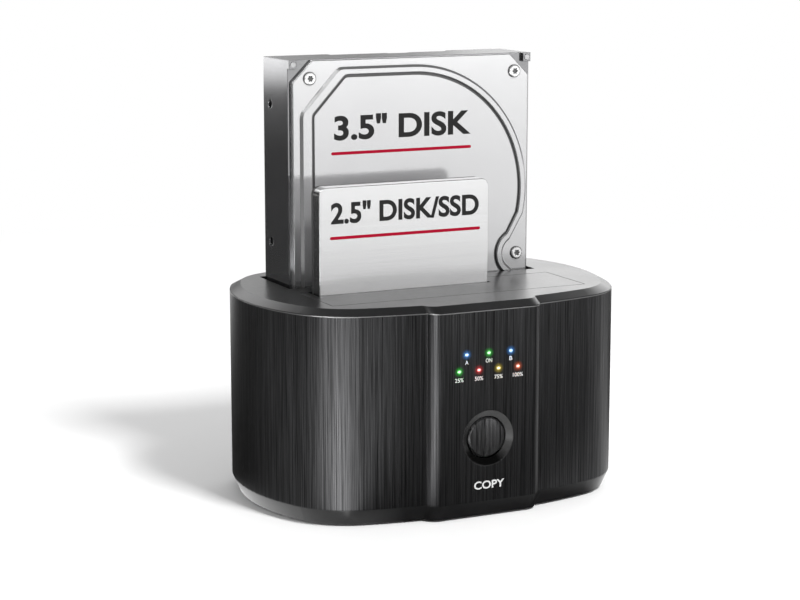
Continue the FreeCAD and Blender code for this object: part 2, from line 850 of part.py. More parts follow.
def bay_guide():
    """The moulded guide: two wells with ledges and socket windows, hinge pockets, ears and pillars."""
    body = new_body("bay_guide")
    outer = sketch(body, "XY", S.guide_floor)
    rectangle(outer, around(ZERO, BAY_HALF + S.guide_wall), (GUIDE_FRONT, GUIDE_BACK))
    pad(body, outer, COVER_Z - S.guide_floor)
    hinge_half = HINGE_ROOM + S.hinge_cheek
    pocket_z = HINGE_Z - S.hinge_pocket_drop
    block_z = pocket_z - S.guide_wall
    pocket_front = {side: HINGE_Y[side] - S.knuckle_radius - S.arm_gap for side in BAY}
    blocks = sketch(body, "XY", block_z)
    for x in SIDES:
        reach = (pocket_front["front"] - S.guide_wall, BAY_FRONT["front"] - S.flap_recess)
        rectangle(blocks, around(HINGE_X * x, hinge_half), reach)
    pad(body, blocks, COVER_Z - block_z)
    ears = sketch(body, "XY", EAR_TOP - S.guide_ear_height)
    for x, y in ear_places():
        circle(ears, x, y, S.guide_ear_radius)
    pad(body, ears, S.guide_ear_height)
    webs = sketch(body, "XY", EAR_TOP - S.guide_ear_height)
    for x, y in CORNERS:
        span = sorted((EAR_X * x, BAY_HALF * x), key=lambda size: size.number)
        rectangle(webs, span, around(S.guide_ear_y * y, S.guide_web_half))
    pad(body, webs, S.guide_ear_height)
    pillar_y = -FRONT_BOARD_Y + S.front_board_thick
    pillars = circles(body, "XZ", pillar_y, pillar_places(), S.pillar_radius)
    pad(body, pillars, GUIDE_FRONT - pillar_y + S.guide_wall)
    for side in BAY:
        well = sketch(body, "XY", S.guide_floor + S.ledge_height)
        rectangle(well, around(ZERO, BAY_HALF), (BAY_FRONT[side] - S.flap_recess, BAY_BACK[side]))
        pocket(body, well, COVER_Z - S.guide_floor - S.ledge_height)
        window = sketch(body, "XY", S.guide_floor)
        x, y = SOCKET[side]
        rectangle(window, around(x, S.plug_hollow_width / 2), around(y, S.plug_hollow_depth / 2))
        pocket(body, window, S.ledge_height)
        hinges = sketch(body, "XY", pocket_z)
        for x in SIDES:
            reach = (pocket_front[side], BAY_FRONT[side])
            rectangle(hinges, around(HINGE_X * x, HINGE_ROOM), reach)
        pocket(body, hinges, COVER_Z - pocket_z)
        for x in SIDES:
            pins = sketch(body, "YZ", HINGE_X * x - hinge_half)
            circle(pins, HINGE_Y[side], HINGE_Z, S.pin_radius)
            pocket(body, pins, hinge_half * 2)
    slot = sketch(body, "XY", S.guide_floor)
    middle = (BAY_BACK["front"] + BAY_FRONT["rear"] - S.flap_recess) / 2
    rectangle(slot, around(ZERO, BAY_HALF - S.guide_wall), around(middle, S.partition_slot / 2))
    pocket(body, slot, block_z - S.guide_floor)
    ports = sketch(body, "XY", S.guide_floor)
    left = S.usb_x - S.usb_width / 2 - S.seam_gap
    right = S.switch_x + S.switch_width / 2 + S.seam_gap
    rectangle(ports, (left, right), (PORT_FRONT - S.seam_gap, GUIDE_BACK + S.guide_wall))
    pocket(body, ports, S.board_top + S.switch_tall + S.seam_gap - S.guide_floor)
    ear_low = EAR_TOP - S.guide_ear_height
    clear = circles(body, "XY", ear_low, ear_places(), S.guide_screw_radius + S.seam_gap)
    pocket(body, clear, S.guide_ear_height)
    screw_depth = S.board_screw_length - S.front_board_thick
    threads = circles(body, "XZ", pillar_y, pillar_places(), S.board_screw_radius)
    pocket(body, threads, screw_depth - S.guide_wall)
    node("bay_guide", body)


def guide_screws():
    low = EAR_TOP - S.guide_ear_height
    screws = []
    for x, y in ear_places():
        head = rod("Z", x, y, low - S.board_head_height, S.board_head_radius, S.board_head_height)
        shank = rod("Z", x, y, low, S.guide_screw_radius, S.board_screw_length)
        screws.append(fuse(head, shank))
    node("guide_screws", *screws)


def flap():
    """A dust flap drawn closed about its hinge axis, with two hinge arms and a notch for the small drive."""
    x = around(ZERO, BAY_HALF - S.flap_gap)
    y = (S.hinge_ahead + S.flap_gap, S.hinge_ahead + BAY_DEPTH - S.flap_gap)
    z = (S.hinge_drop - S.flap_height, S.hinge_drop)
    solids = [block(x, y, z)]
    holes = []
    arm_top = S.hinge_drop - S.cover_height - S.arm_gap
    for side in SIDES:
        centre = HINGE_X * side
        across = around(centre, S.arm_width / 2)
        start = centre - S.arm_width / 2
        solids.append(rod("X", start, 0, 0, S.knuckle_radius, S.arm_width))
        solids.append(block(across, (ZERO, S.arm_reach), (-S.knuckle_radius / 2, arm_top)))
        solids.append(block(across, (y[0], S.arm_reach), (arm_top - S.arm_gap, z[0] + S.arm_gap)))
        holes.append(rod("X", start - S.arm_gap, 0, 0, S.pin_radius + S.hinge_gap, S.arm_width * 2))
    notch_x = around(SMALL_X, S.small_width / 2 + S.notch_gap)
    notch_y = (SMALL_FRONT - S.notch_gap - HINGE_Y["front"], y[1] + S.flap_gap)
    notch_z = (z[0] - S.flap_gap, z[1] + S.flap_gap)
    return cut(fuse(*solids), block(notch_x, notch_y, notch_z), *holes)


def flaps():
    node("front_flap", flap(), at=(ZERO, HINGE_Y["front"], HINGE_Z))
    node("rear_flap", flap(), at=(ZERO, HINGE_Y["rear"], HINGE_Z), angle=-S.rear_flap_angle)


def flap_pins():
    half = HINGE_ROOM + S.hinge_cheek
    pins = []
    for side in BAY:
        for x in SIDES:
            pins.append(rod("X", HINGE_X * x - half, HINGE_Y[side], HINGE_Z, S.pin_radius, half * 2))
    node("flap_pins", *pins)


def flap_spring(side):
    """A torsion spring on the hinge pin: one leg down the pocket wall, one out under the flap."""
    wire = S.spring_wire.number
    coil = (S.pin_radius + S.spring_wire / 2 + S.spring_play).number
    pitch = S.spring_pitch.number
    turns = S.spring_turns.number
    leg = S.spring_leg.number
    slope = pitch / (2 * math.pi * coil)
    helix = Part.makeHelix(pitch, pitch * turns, coil, 0, True)
    helix.rotate(FreeCAD.Vector(), FreeCAD.Vector(0, 0, 1), 180)
    start = FreeCAD.Vector(-coil, 0, 0)
    foot = start + FreeCAD.Vector(0, -1, -slope) * leg
    end = FreeCAD.Vector(0, coil, pitch * turns)
    tip = end + FreeCAD.Vector(1, 0, slope) * leg
    path = Part.Wire([Part.makeLine(foot, start)] + helix.Edges + [Part.makeLine(end, tip)])
    ring = Part.makeCircle(wire / 2, foot, start - foot)
    item = doc.addObject("Part::Feature", "Spring")
    item.Shape = path.makePipeShell([Part.Wire(ring)], True, True)
    turned = FreeCAD.Rotation(FreeCAD.Vector(0, 1, 0), FreeCAD.Vector(0, 0, 1), FreeCAD.Vector(1, 0, 0))
    item.Placement = FreeCAD.Placement(FreeCAD.Vector(), turned)
    beside = HINGE_X + S.arm_width / 2 + S.spring_wire
    node(f"{side}_flap_spring", item, at=(beside, HINGE_Y[side], HINGE_Z))


# The drives.


def plug(x, y, end):
    """A drive's serial ATA plug: a hollow housing with the signal and the power tongue."""
    housing = block(around(x, S.plug_width / 2), around(y, S.plug_depth / 2), (end, end + S.plug_height))
    across = around(x, S.plug_hollow_width / 2)
    hollow = block(across, around(y, S.plug_hollow_depth / 2), (end, end + S.plug_hollow_height))
    roof = end + S.plug_hollow_height
    tongues = []
    for low, high in tongue_spans(x):
        tongues.append(block((low, high), around(y, S.tongue_thick / 2), (roof - S.tongue_height, roof)))
    return fuse(cut(housing, hollow), *tongues)


def tongue_spans(x):
    whole = S.signal_width + S.tongue_gap + S.power_width
    left = x - whole / 2
    power = left + S.signal_width + S.tongue_gap
    return [(left, left + S.signal_width), (power, power + S.power_width)]


def plug_room(x, y, end):
    return block(around(x, S.plug_width / 2), around(y, S.plug_depth / 2), (end, end + S.plug_height))


def lid_screw_places():
    """Where the large drive's lid is screwed down: four corners, and one in the neck of the field."""
    left, right = S.screw_inset_left - LARGE_HALF, LARGE_HALF - S.screw_inset_right
    low, high = S.large_end + S.screw_drop, LARGE_TOP - S.screw_drop
    middle = (LARGE_HALF - S.screw_inset_mid, S.large_end + S.screw_mid_rise)
    return [(left, high), (right, high), middle, (left, low), (right, low)]


def large_casting():
    """The cast body: corner posts, threaded holes in both sides, and a back with board and motor recesses."""
    half = LARGE_HALF
    deck = LARGE_FRONT + S.lid_height
    body = block(around(ZERO, half), (deck, LARGE_BACK), (S.large_end, LARGE_TOP))
    solids = [body]
    tools = [plug_room(*SOCKET["rear"], S.large_end)]
    post_front = deck - S.corner_post_front
    for x in SIDES:
        low = half - S.corner_post_width if x > 0 else -half
        span = (low, low + S.corner_post_width)
        solids.append(block(span, (post_front, deck), (LARGE_TOP - S.corner_post_height, LARGE_TOP)))
        pin_x = (half - S.corner_post_width / 2) * x
        pin_z = LARGE_TOP - S.corner_post_height / 2
        tools.append(rod("Y", pin_x, post_front, pin_z, S.corner_pin_radius, S.corner_post_front))
        start = half - S.side_hole_depth if x > 0 else -half
        for drop in (S.side_hole_high, S.side_hole_mid, S.side_hole_low):
            place_y = LARGE_BACK - S.side_hole_back
            tools.append(rod("X", start, place_y, LARGE_TOP - drop, S.side_hole_radius, S.side_hole_depth))
    board_y = LARGE_BACK - S.board_recess
    board_half = LARGE_HALF - S.drive_board_inset + S.mating_gap
    board_top = S.large_end + S.drive_board_height + S.mating_gap
    tools.append(block(around(ZERO, board_half), (board_y, LARGE_BACK), (S.large_end, board_top)))
    motor_z = LARGE_TOP - S.disc_drop
    motor_y = board_y - S.motor_depth
    tools.append(rod("Y", 0, motor_y, motor_z, S.motor_radius, S.board_recess + S.motor_depth))
    left, step, middle, right = (half * share for share in RELIEF_SHARES)
    high = (LARGE_TOP - S.relief_height, LARGE_TOP)
    relief_y = LARGE_BACK - S.relief_depth
    tools.append(block((left, right), (relief_y, LARGE_BACK), high))
    tools.append(block((step, middle), (relief_y - S.relief_deep, relief_y), high))
    hub = rod("Y", 0, motor_y, motor_z, S.hub_radius, S.hub_height)
    node("hdd_casting", fuse(cut(fuse(*solids), *tools), hub))


def lid_outline(item, side_inset, bevel, disc_inset, neck, corner):
    """A pressed line of the lid: bevelled at the left, round over the discs, drawn in at the mid screw."""
    side, disc = LARGE_HALF - side_inset, LARGE_HALF - disc_inset
    disc_z = LARGE_TOP - S.disc_drop
    top = disc_z + disc
    low = S.large_end + S.lid_low_margin + side_inset
    low_bevel = S.lid_low_bevel
    screw_x, screw_z = LARGE_HALF - S.screw_inset_mid, S.large_end + S.screw_mid_rise
    neck_x = screw_x - neck * math.cos(NECK_ANGLE)
    neck_rise = neck * math.sin(NECK_ANGLE)
    across, down = math.cos(LID_BEVEL_ANGLE), math.sin(LID_BEVEL_ANGLE)
    bevel_low = top - bevel * math.tan(LID_BEVEL_ANGLE)
    upper = corner * math.tan(LID_BEVEL_ANGLE / 2)
    lower = corner * math.tan((math.pi / 2 - LID_BEVEL_ANGLE) / 2)
    profile(
        item,
        [
            (-side + low_bevel, low), (side - low_bevel, low),
            (side, low + low_bevel), (side, screw_z - neck_rise * 2),
            (neck_x, screw_z - neck_rise, neck, 1), (neck_x, screw_z + neck_rise),
            (disc * math.cos(SHOULDER_ANGLE), disc_z + disc * math.sin(SHOULDER_ANGLE), disc, -1),
            (ZERO, top), (-side + bevel + upper, top, corner, -1),
            (-side + bevel - upper * across, top - upper * down),
            (-side + lower * across, bevel_low + lower * down, corner, -1),
            (-side, bevel_low - lower), (-side, low + low_bevel),
        ],
    )


def large_lid():
    """The pressed lid: a flange with cut corners, a raised field, and a groove round the field's middle."""
    body = new_body("hdd_cover")
    half = LARGE_HALF - S.lid_inset
    low, high = S.large_end + S.lid_inset, LARGE_TOP - S.lid_top_gap
    edge = sketch(body, "XZ", LID_FLANGE)
    profile(
        edge,
        [
            (-half, low), (half, low), (half, high - S.lid_cut), (half - S.lid_cut, high),
            (-half + S.lid_cut, high), (-half, high - S.lid_cut),
        ],
    )
    pad(body, edge, S.lid_height - S.lid_step)
    fillet_where(body, S.lid_edge, lying_at(LID_FLANGE))
    field = sketch(body, "XZ", LARGE_FRONT)
    lid_outline(
        field, S.lid_inset_outer, S.lid_bevel_outer, S.disc_inset_outer, S.neck_outer, S.lid_corner_outer
    )
    pad(body, field, S.lid_step)
    at_front = lying_at(LARGE_FRONT)
    fillet_where(body, S.lid_step_bevel, at_front, "PartDesign::Chamfer")
    middle = sketch(body, "XZ", LARGE_FRONT)
    line = (S.lid_inset_inner, S.lid_bevel_inner, S.disc_inset_inner, S.neck_inner, S.lid_corner_inner)
    lid_outline(middle, *line)
    doc.recompute()
    rim = {round(e.Length, 4) for e in body.Tip.Shape.Edges if at_front(e)}
    pocket(body, middle, S.lid_field_drop)

    def round_middle(edge):
        return at_front(edge) and round(edge.Length, 4) not in rim

    fillet_where(body, S.lid_field_bevel, round_middle, "PartDesign::Chamfer")
    groove = sketch(body, "XZ", LARGE_FRONT + S.lid_field_drop)
    lid_outline(groove, *line)
    wide = S.lid_groove_width
    bevel = S.lid_bevel_inner - wide * (2 - math.sqrt(2))
    inset = (S.lid_inset_inner + wide, bevel, S.disc_inset_inner + wide)
    lid_outline(groove, *inset, S.neck_inner + wide, S.lid_corner_inner - wide)
    pocket(body, groove, S.lid_groove_depth)
    pocket(body, circles(body, "XZ", LID_FLANGE, lid_screw_places(), S.lid_shank_radius), S.lid_height)
    node("hdd_cover", body)


def lid_screws():
    screws = []
    half = S.lid_screw_height / 2
    shank_long = S.lid_height - S.lid_step
    for x, z in lid_screw_places():
        rim = rod("Y", x, LID_FLANGE - half, z, S.lid_screw_radius, half)
        front = LID_FLANGE - S.lid_screw_height
        crown = cone("Y", x, front, z, S.lid_crown_radius, S.lid_screw_radius, half)
        shank = rod("Y", x, LID_FLANGE, z, S.lid_shank_radius, shank_long)
        socket = [rod("Y", x, front, z, S.lid_socket_radius, half)]
        for turn in LOBES:
            lobe_x = x + S.lid_socket_radius * math.cos(turn)
            lobe_z = z + S.lid_socket_radius * math.sin(turn)
            socket.append(rod("Y", lobe_x, front, lobe_z, S.lid_lobe_radius, half))
        screws.append(cut(fuse(rim, crown, shank), *socket))
    node("hdd_cover_screws", *screws)


def corner_pins():
    half = LARGE_HALF - S.corner_post_width / 2
    front = LARGE_FRONT + S.lid_height - S.corner_post_front - S.corner_pin_stand
    z = LARGE_TOP - S.corner_post_height / 2
    length = S.corner_pin_stand + S.corner_post_front
    node("hdd_corner_pins", *[rod("Y", half * x, front, z, S.corner_pin_radius, length) for x in SIDES])


def large_board():
    """The drive's circuit board, cut round the motor and the plug."""
    y = LARGE_BACK - S.board_recess
    thick = (y, y + S.drive_board_thick)
    high = (S.large_end + S.mating_gap, S.large_end + S.drive_board_height)
    board = block(around(ZERO, LARGE_HALF - S.drive_board_inset), thick, high)
    motor = rod("Y", 0, y, LARGE_TOP - S.disc_drop, S.motor_radius + S.mating_gap, S.board_recess)
    plug_x, plug_y = SOCKET["rear"]
    across = around(plug_x, S.plug_width / 2 + S.mating_gap)
    high = (S.large_end, S.large_end + S.plug_height + S.mating_gap)
    connector = block(across, around(plug_y, S.plug_depth), high)
    node("hdd_circuit_board", cut(board, motor, connector))


def small_drive():
    """The flat drive: a front shell with rounded corners, a back shell, their screws and the plug."""
    x = around(SMALL_X, S.small_width / 2)
    z = (S.small_end, SMALL_TOP)
    plug_place = SOCKET["front"]
    split = SMALL_FRONT + S.small_lid
    screw_half = S.small_width / 2 - S.small_screw_inset
    heights = (S.small_end + S.plug_height + S.small_screw_inset, SMALL_TOP - S.small_screw_inset)
    places = [(SMALL_X + screw_half * side, height) for side in SIDES for height in heights]
    shells = (("ssd_cover", SMALL_FRONT, S.small_lid), ("ssd_base", split, SMALL_BACK - split))
    for label, level, thick in shells:
        body = new_body(label)
        outline = sketch(body, "XZ", level)
        rounded(outline, x, z, S.small_corner)
        pad(body, outline, thick)
        room = sketch(body, "XY", S.small_end)
        rectangle(room, around(plug_place[0], S.plug_width / 2), around(plug_place[1], S.plug_depth / 2))
        pocket(body, room, S.plug_height)
        if label == "ssd_cover":
            front = SMALL_FRONT.number
            fillet_where(body, S.lid_edge, lambda e: all(abs(v.Point.y - front) < 1e-4 for v in e.Vertexes))
        else:
            seats = circles(body, "XZ", SMALL_BACK - S.small_screw_depth, places, S.small_screw_radius)
            pocket(body, seats, S.small_screw_depth)
        node(label, body)
    deep = SMALL_BACK - S.small_screw_depth
    screws = [rod("Y", a, deep, b, S.small_screw_radius, S.small_screw_depth) for a, b in places]
    node("ssd_screws", *screws)
    node("ssd_sata_plug", plug(*plug_place, S.small_end))


# Boards and what stands on them.


def main_board():
    board = block(around(ZERO, S.board_half), (-S.board_front, S.board_back), (BOARD_Z, S.board_top))
    holes = []
    for x, y in board_screw_places():
        holes.append(rod("Z", x, y, BOARD_Z, S.board_screw_radius + S.seam_gap, S.board_thick))
    node("main_board", cut(board, *holes))
    screws = []
    for x, y in board_screw_places():
        head = rod("Z", x, y, S.board_top, S.board_head_radius, S.board_head_height)
        low = S.board_top - S.board_screw_length
        screws.append(fuse(head, rod("Z", x, y, low, S.board_screw_radius, S.board_screw_length)))
    node("board_screws", *screws)


def sata_socket(side):
    """An upright socket: a base on the board and a block with two slots that enters the drive's plug."""
    x, y = SOCKET[side]
    base = block(around(x, S.socket_width / 2), around(y, S.socket_depth / 2), (S.board_top, S.guide_floor))
    across = around(x, S.plug_hollow_width / 2 - S.mating_gap)
    deep = around(y, S.plug_hollow_depth / 2 - S.mating_gap)
    mating = block(across, deep, (S.guide_floor, S.socket_top))
    slots = []
    for low, high in tongue_spans(x):
        span = (low - S.mating_gap, high + S.mating_gap)
        thick = around(y, S.tongue_thick / 2 + S.mating_gap)
        slots.append(block(span, thick, (S.socket_top - S.tongue_height, S.socket_top)))
    node(f"sata_socket_{side}", cut(fuse(base, mating), *slots))


def on_board(x, y, half_x, half_y, height):
    return block(around(sized(x), half_x), around(sized(y), half_y), (S.board_top, S.board_top + height))


def board_parts():
    """The bridge chip, the memory and the supply parts, on the half of the board beside the sockets."""
    right = S.board_half / 2
    half = S.chip_side / 2
    flash = (S.flash_length / 2, S.flash_width / 2)
    bridge = on_board(right, 0, half, half, S.chip_height)
    memory = on_board(right + S.chip_side, -S.chip_side, *flash, S.chip_height)
    driver = on_board(right + S.chip_side, 0, *flash, S.chip_height)
    node("board_chips", bridge, memory, driver)
    coil = S.coil_side / 2
    spots = [right + S.can_apart * i for i in SIDES]
    row = S.board_back / 2
    coil_row = row - S.can_radius * 2 - S.coil_side / 2
    node("power_coils", *[on_board(x, coil_row, coil, coil, S.coil_height) for x in spots])
    cans = [rod("Z", x, row, S.board_top, S.can_radius, S.can_height) for x in spots]
    node("board_capacitors", *cans)


def front_board():
    """The upright board behind the front panel, with its screws, lamps and push switch."""
    y = (-FRONT_BOARD_Y, -FRONT_BOARD_Y + S.front_board_thick)
    z = (BUTTON_Z - S.front_board_below, TOP_Z - S.front_board_drop)
    board = block(around(ZERO, S.front_board_half), y, z)
    radius = S.board_screw_radius + S.seam_gap
    holes = [rod("Y", a, y[0], b, radius, S.front_board_thick) for a, b in pillar_places()]
    node("front_board", cut(board, *holes))
    screws = []
    for a, b in pillar_places():
        head = rod("Y", a, y[0] - S.board_head_height, b, S.board_head_radius, S.board_head_height)
        length = S.board_screw_length - S.guide_wall
        screws.append(fuse(head, rod("Y", a, y[0], b, S.board_screw_radius, length)))
    node("front_board_screws", *screws)
    half = S.lamp_chip / 2
    deep = (y[0] - S.lamp_chip_height, y[0])
    node("lamps", *[block(around(a, half), deep, around(b, half)) for a, b in lamp_places()])


def light_pipes():
    """One clear moulding: a bar with a pipe from each lamp, a tip through the panel, and two feet."""
    front = -(PANEL_Y - S.sleeve_wall) + S.seam_gap
    back = front + S.lamp_bar_thick
    z = (TOP_Z - S.lamp_row_low - S.lamp_bar_margin, TOP_Z - S.lamp_row_high + S.lamp_bar_margin)
    solids = [block(around(ZERO, S.lamp_bar_half), (front, back), z)]
    lamp_y = -FRONT_BOARD_Y - S.lamp_chip_height - S.seam_gap
    for a, b in lamp_places():
        tip = front - (-PANEL_Y)
        solids.append(rod("Y", a, -PANEL_Y, b, S.lamp_hole - S.lamp_gap, tip + S.lamp_bar_thick))
        solids.append(rod("Y", a, front, b, S.lamp_pipe_radius, lamp_y - front))
    for side in SIDES:
        foot_z = TOP_Z - S.lamp_row_high
        reach = -FRONT_BOARD_Y - front
        solids.append(rod("Y", S.lamp_foot_x * side, front, foot_z, S.lamp_foot_radius, reach))
    node("light_pipes", fuse(*solids))


# The clone button. Its pieces are turned about the Y axis, from the panel's front face inwards.


def turned_body(label, points):
    """A body of revolution about its own Y axis: each point is a depth and a radius."""
    body = new_body(label)
    half = sketch(body, "YZ", ZERO)
    profile(half, points)
    spin = body.newObject("PartDesign::Revolution", "Turned")
    spin.Profile = half
    spin.ReferenceAxis = (half, ["H_Axis"])
    return body


def button_pieces():
    """The dished bezel, the cap with its stem, and the push switch with its plunger."""
    at = (ZERO, -PANEL_Y, BUTTON_Z)
    flange = S.sleeve_wall
    tube = S.bezel_mouth + S.bezel_wall
    behind = flange + S.bezel_flange_height
    bezel = [
        (ZERO, S.bezel_radius), (flange, S.bezel_radius), (flange, S.bezel_flange),
        (behind, S.bezel_flange), (behind, tube), (S.bezel_length, tube),
        (S.bezel_length, S.bezel_mouth), (S.bezel_dish, S.bezel_mouth),
        (ZERO, S.bezel_radius - S.bezel_land),
    ]
    node("button_bezel", turned_body("button_bezel", bezel), at=at)
    face = S.cap_sink
    shoulder = face + S.cap_crown
    catch = S.bezel_length + S.cap_stop_gap
    back = catch + S.cap_flange_height
    board = PANEL_Y - FRONT_BOARD_Y
    plunger_tip = board - S.switch_height - S.plunger_stand
    stem_end = plunger_tip - S.plunger_gap
    hollow = S.cap_radius - S.cap_wall
    rim = S.cap_radius - S.cap_bevel
    crown = (rim * rim + S.cap_crown * S.cap_crown) / (S.cap_crown * 2)
    cap = [
        (face, ZERO, crown, 1), (shoulder, rim), (shoulder + S.cap_bevel, S.cap_radius),
        (catch, S.cap_radius), (catch, S.cap_flange), (back, S.cap_flange), (back, hollow),
        (shoulder + S.cap_wall, hollow), (shoulder + S.cap_wall, S.stem_radius),
        (stem_end, S.stem_radius), (stem_end, ZERO),
    ]
    node("clone_button", turned_body("clone_button", cap), at=at)
    half = S.switch_side / 2
    front = board - S.switch_height
    housing = block(around(ZERO, half), (front, board), around(ZERO, half))
    depth = S.plunger_depth + S.button_travel + S.plunger_gap
    room = rod("Y", 0, front, 0, S.plunger_radius + S.hinge_gap, depth)
    node("push_switch", cut(housing, room), at=at)
    length = S.plunger_stand + S.plunger_depth
    plunger = rod("Y", 0, plunger_tip, 0, S.plunger_radius, length)
    node("switch_plunger", plunger, at=at)


# The connection panel at the back.


def port_places():
    """The ports on the panel: middle, width and height of each."""
    return [
        (S.usb_x, S.usb_width, S.usb_height),
        (S.jack_x, S.jack_width, S.jack_height),
        (S.switch_x, S.switch_width, S.switch_tall),
    ]


def rear_panel():
    """The recessed panel, its rim flush with the curved sleeve, with a wing behind the sleeve."""
    body = new_body("rear_panel")
    inner = PANEL_FACE - S.panel_wall
    curve = S.front_radius - S.seam_gap
    edge = (curve * curve - S.panel_half * S.panel_half).root() - (S.front_radius - HALF_DEPTH)
    block_sketch = sketch(body, "XY", SLEEVE_Z)
    half = S.panel_half
    profile(block_sketch, [(-half, inner), (half, inner), (half, edge, curve, -1), (-half, edge)])
    pad(body, block_sketch, S.panel_height)
    wings = sketch(body, "XZ", inner - S.wing_thick)
    wing_z = (SLEEVE_Z + S.seam_gap, SLEEVE_Z + S.panel_height + S.panel_wing)
    rectangle(wings, around(ZERO, half + S.panel_wing), wing_z)
    pad(body, wings, S.wing_thick)
    recess = sketch(body, "XZ", PANEL_FACE)
    recess_z = (SLEEVE_Z + S.panel_rim, SLEEVE_Z + S.panel_height - S.panel_rim)
    rectangle(recess, around(ZERO, half - S.panel_rim), recess_z)
    pocket(body, recess, S.panel_face)
    for x, width, height in port_places():
        hole = sketch(body, "XZ", inner - S.wing_thick)
        tall = (S.board_top - S.port_gap, S.board_top + height + S.port_gap)
        rectangle(hole, around(x, width / 2 + S.port_gap), tall)
        pocket(body, hole, S.panel_wall + S.wing_thick)
    node("rear_panel", body)


def usb_socket():
    """The upright USB inlet: a square mouth with a narrower step over it and a tongue in the middle."""
    deep = (PORT_FRONT, PANEL_FACE)
    low = S.board_top
    body = block(around(S.usb_x, S.usb_width / 2), deep, (low, low + S.usb_height))
    mouth_y = (PANEL_FACE - S.usb_mouth_depth, PANEL_FACE)
    mouth_low = low + S.usb_mouth_low
    mouth_high = mouth_low + S.usb_mouth_height
    mouth = block(around(S.usb_x, S.usb_mouth_width / 2), mouth_y, (mouth_low, mouth_high))
    step_z = (mouth_high, mouth_high + S.usb_upper_height)
    step = block(around(S.usb_x, S.usb_upper_width / 2), mouth_y, step_z)
    middle = (mouth_low + mouth_high) / 2
    reach = (mouth_y[0] - S.panel_wall, mouth_y[1] - S.usb_mouth_low)
    tongue = block(around(S.usb_x, S.usb_tongue_width / 2), reach, around(middle, S.usb_tongue_height / 2))
    node("usb_socket", fuse(cut(body, mouth, step), tongue))


def power_jack():
    deep = (PORT_FRONT, PANEL_FACE)
    body = block(around(S.jack_x, S.jack_width / 2), deep, (S.board_top, S.board_top + S.jack_height))
    middle = S.board_top + S.jack_height / 2
    start = PANEL_FACE - S.jack_depth
    bore = rod("Y", S.jack_x, start, middle, S.jack_bore, S.jack_depth)
    seat = rod("Y", S.jack_x, start - S.panel_wall, middle, S.jack_pin, S.panel_wall)
    node("power_jack", cut(body, bore, seat))
    length = S.jack_depth + S.panel_wall - S.port_gap
    node("power_jack_pin", rod("Y", S.jack_x, start - S.panel_wall, middle, S.jack_pin, length))


def power_switch():
    """The rocker switch: a housing that stands a little proud of the panel, and a rocker on two pins."""
    face = PANEL_FACE + S.switch_stand
    middle = S.board_top + S.switch_tall / 2
    pivot = face - S.rocker_pivot_in
    turn_reach = (S.rocker_half * S.rocker_half + S.rocker_out * S.rocker_out).root() + S.rocker_gap
    deep = (PANEL_FACE - S.switch_depth, face)
    housing = block(around(S.switch_x, S.switch_width / 2), deep, around(middle, S.switch_tall / 2))
    across = around(S.switch_x, S.rocker_width / 2 + S.rocker_gap)
    room = block(across, (pivot - turn_reach, face), around(middle, turn_reach))
    reach = S.rocker_width / 2 + S.rocker_pin_length + S.rocker_gap
    pins = rod("X", S.switch_x - reach, pivot, middle, S.rocker_pin + S.hinge_gap, reach * 2)
    node("power_switch", cut(housing, room, pins))
    body = new_body("power_rocker")
    side = sketch(body, "YZ", -S.rocker_width / 2)
    half, shoulder = S.rocker_half, S.rocker_half / 2
    profile(
        side,
        [
            (S.rocker_out, -half), (S.rocker_vee, ZERO), (S.rocker_out, half),
            (-S.rocker_back / 4, half), (-S.rocker_back, shoulder), (-S.rocker_back, -shoulder),
            (-S.rocker_back / 4, -half),
        ],
    )
    pad(body, side, S.rocker_width)
    whole = S.rocker_width + S.rocker_pin_length * 2
    pad(body, circles(body, "YZ", -whole / 2, [(ZERO, ZERO)], S.rocker_pin), whole)
    node("power_rocker", body, at=(S.switch_x, pivot, middle), angle=-S.rocker_angle)


def build():
    top_cover()
    side_sleeve()
    base_tray()
    rubber_feet()
    case_screws()
    bay_guide()
    guide_screws()
    flaps()
    flap_pins()
    for side in BAY:
        flap_spring(side)
        sata_socket(side)
    main_board()
    board_parts()
    front_board()
    light_pipes()
    button_pieces()
    rear_panel()
    usb_socket()
    power_jack()
    power_switch()
    large_casting()
    large_lid()
    lid_screws()
    corner_pins()
    large_board()
    node("hdd_sata_plug", plug(*SOCKET["rear"], S.large_end))
    small_drive()
    doc.recompute()


def check():
    """Stops on a failed object, a broken shape, or a pocket that removes nothing."""
    for item in doc.Objects:
        if "Invalid" in item.State or "Error" in item.State:
            raise RuntimeError(f"{item.Label} is {item.State}")
        if item.TypeId == "PartDesign::Pocket":
            if item.Shape.Volume > item.BaseFeature.Shape.Volume - 1e-6:
                raise RuntimeError(f"{item.Label} removes nothing")
    for label, item in NODES.items():
        if item.Shape.isNull() or not item.Shape.isValid() or not item.Shape.Solids:
            raise RuntimeError(f"{label} has no valid solid")


def write():
    os.makedirs("parts", exist_ok=True)
    for label, item in NODES.items():
        item.Shape.exportStep(f"parts/{label}.step")
        print(label, len(item.Shape.Solids), "solid(s)", round(item.Shape.Volume), "mm3")


build()
check()
write()
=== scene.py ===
import math

import bpy
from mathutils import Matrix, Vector


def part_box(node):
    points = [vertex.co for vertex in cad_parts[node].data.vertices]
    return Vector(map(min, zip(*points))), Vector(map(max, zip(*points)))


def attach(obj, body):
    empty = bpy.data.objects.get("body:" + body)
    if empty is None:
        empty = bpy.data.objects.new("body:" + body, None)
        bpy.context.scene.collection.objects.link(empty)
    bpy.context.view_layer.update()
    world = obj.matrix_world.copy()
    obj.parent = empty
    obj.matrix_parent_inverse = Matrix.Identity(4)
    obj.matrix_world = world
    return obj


# Looks for the drive duplicator. Metres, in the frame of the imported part: x to the right, y to the
# back and z up.

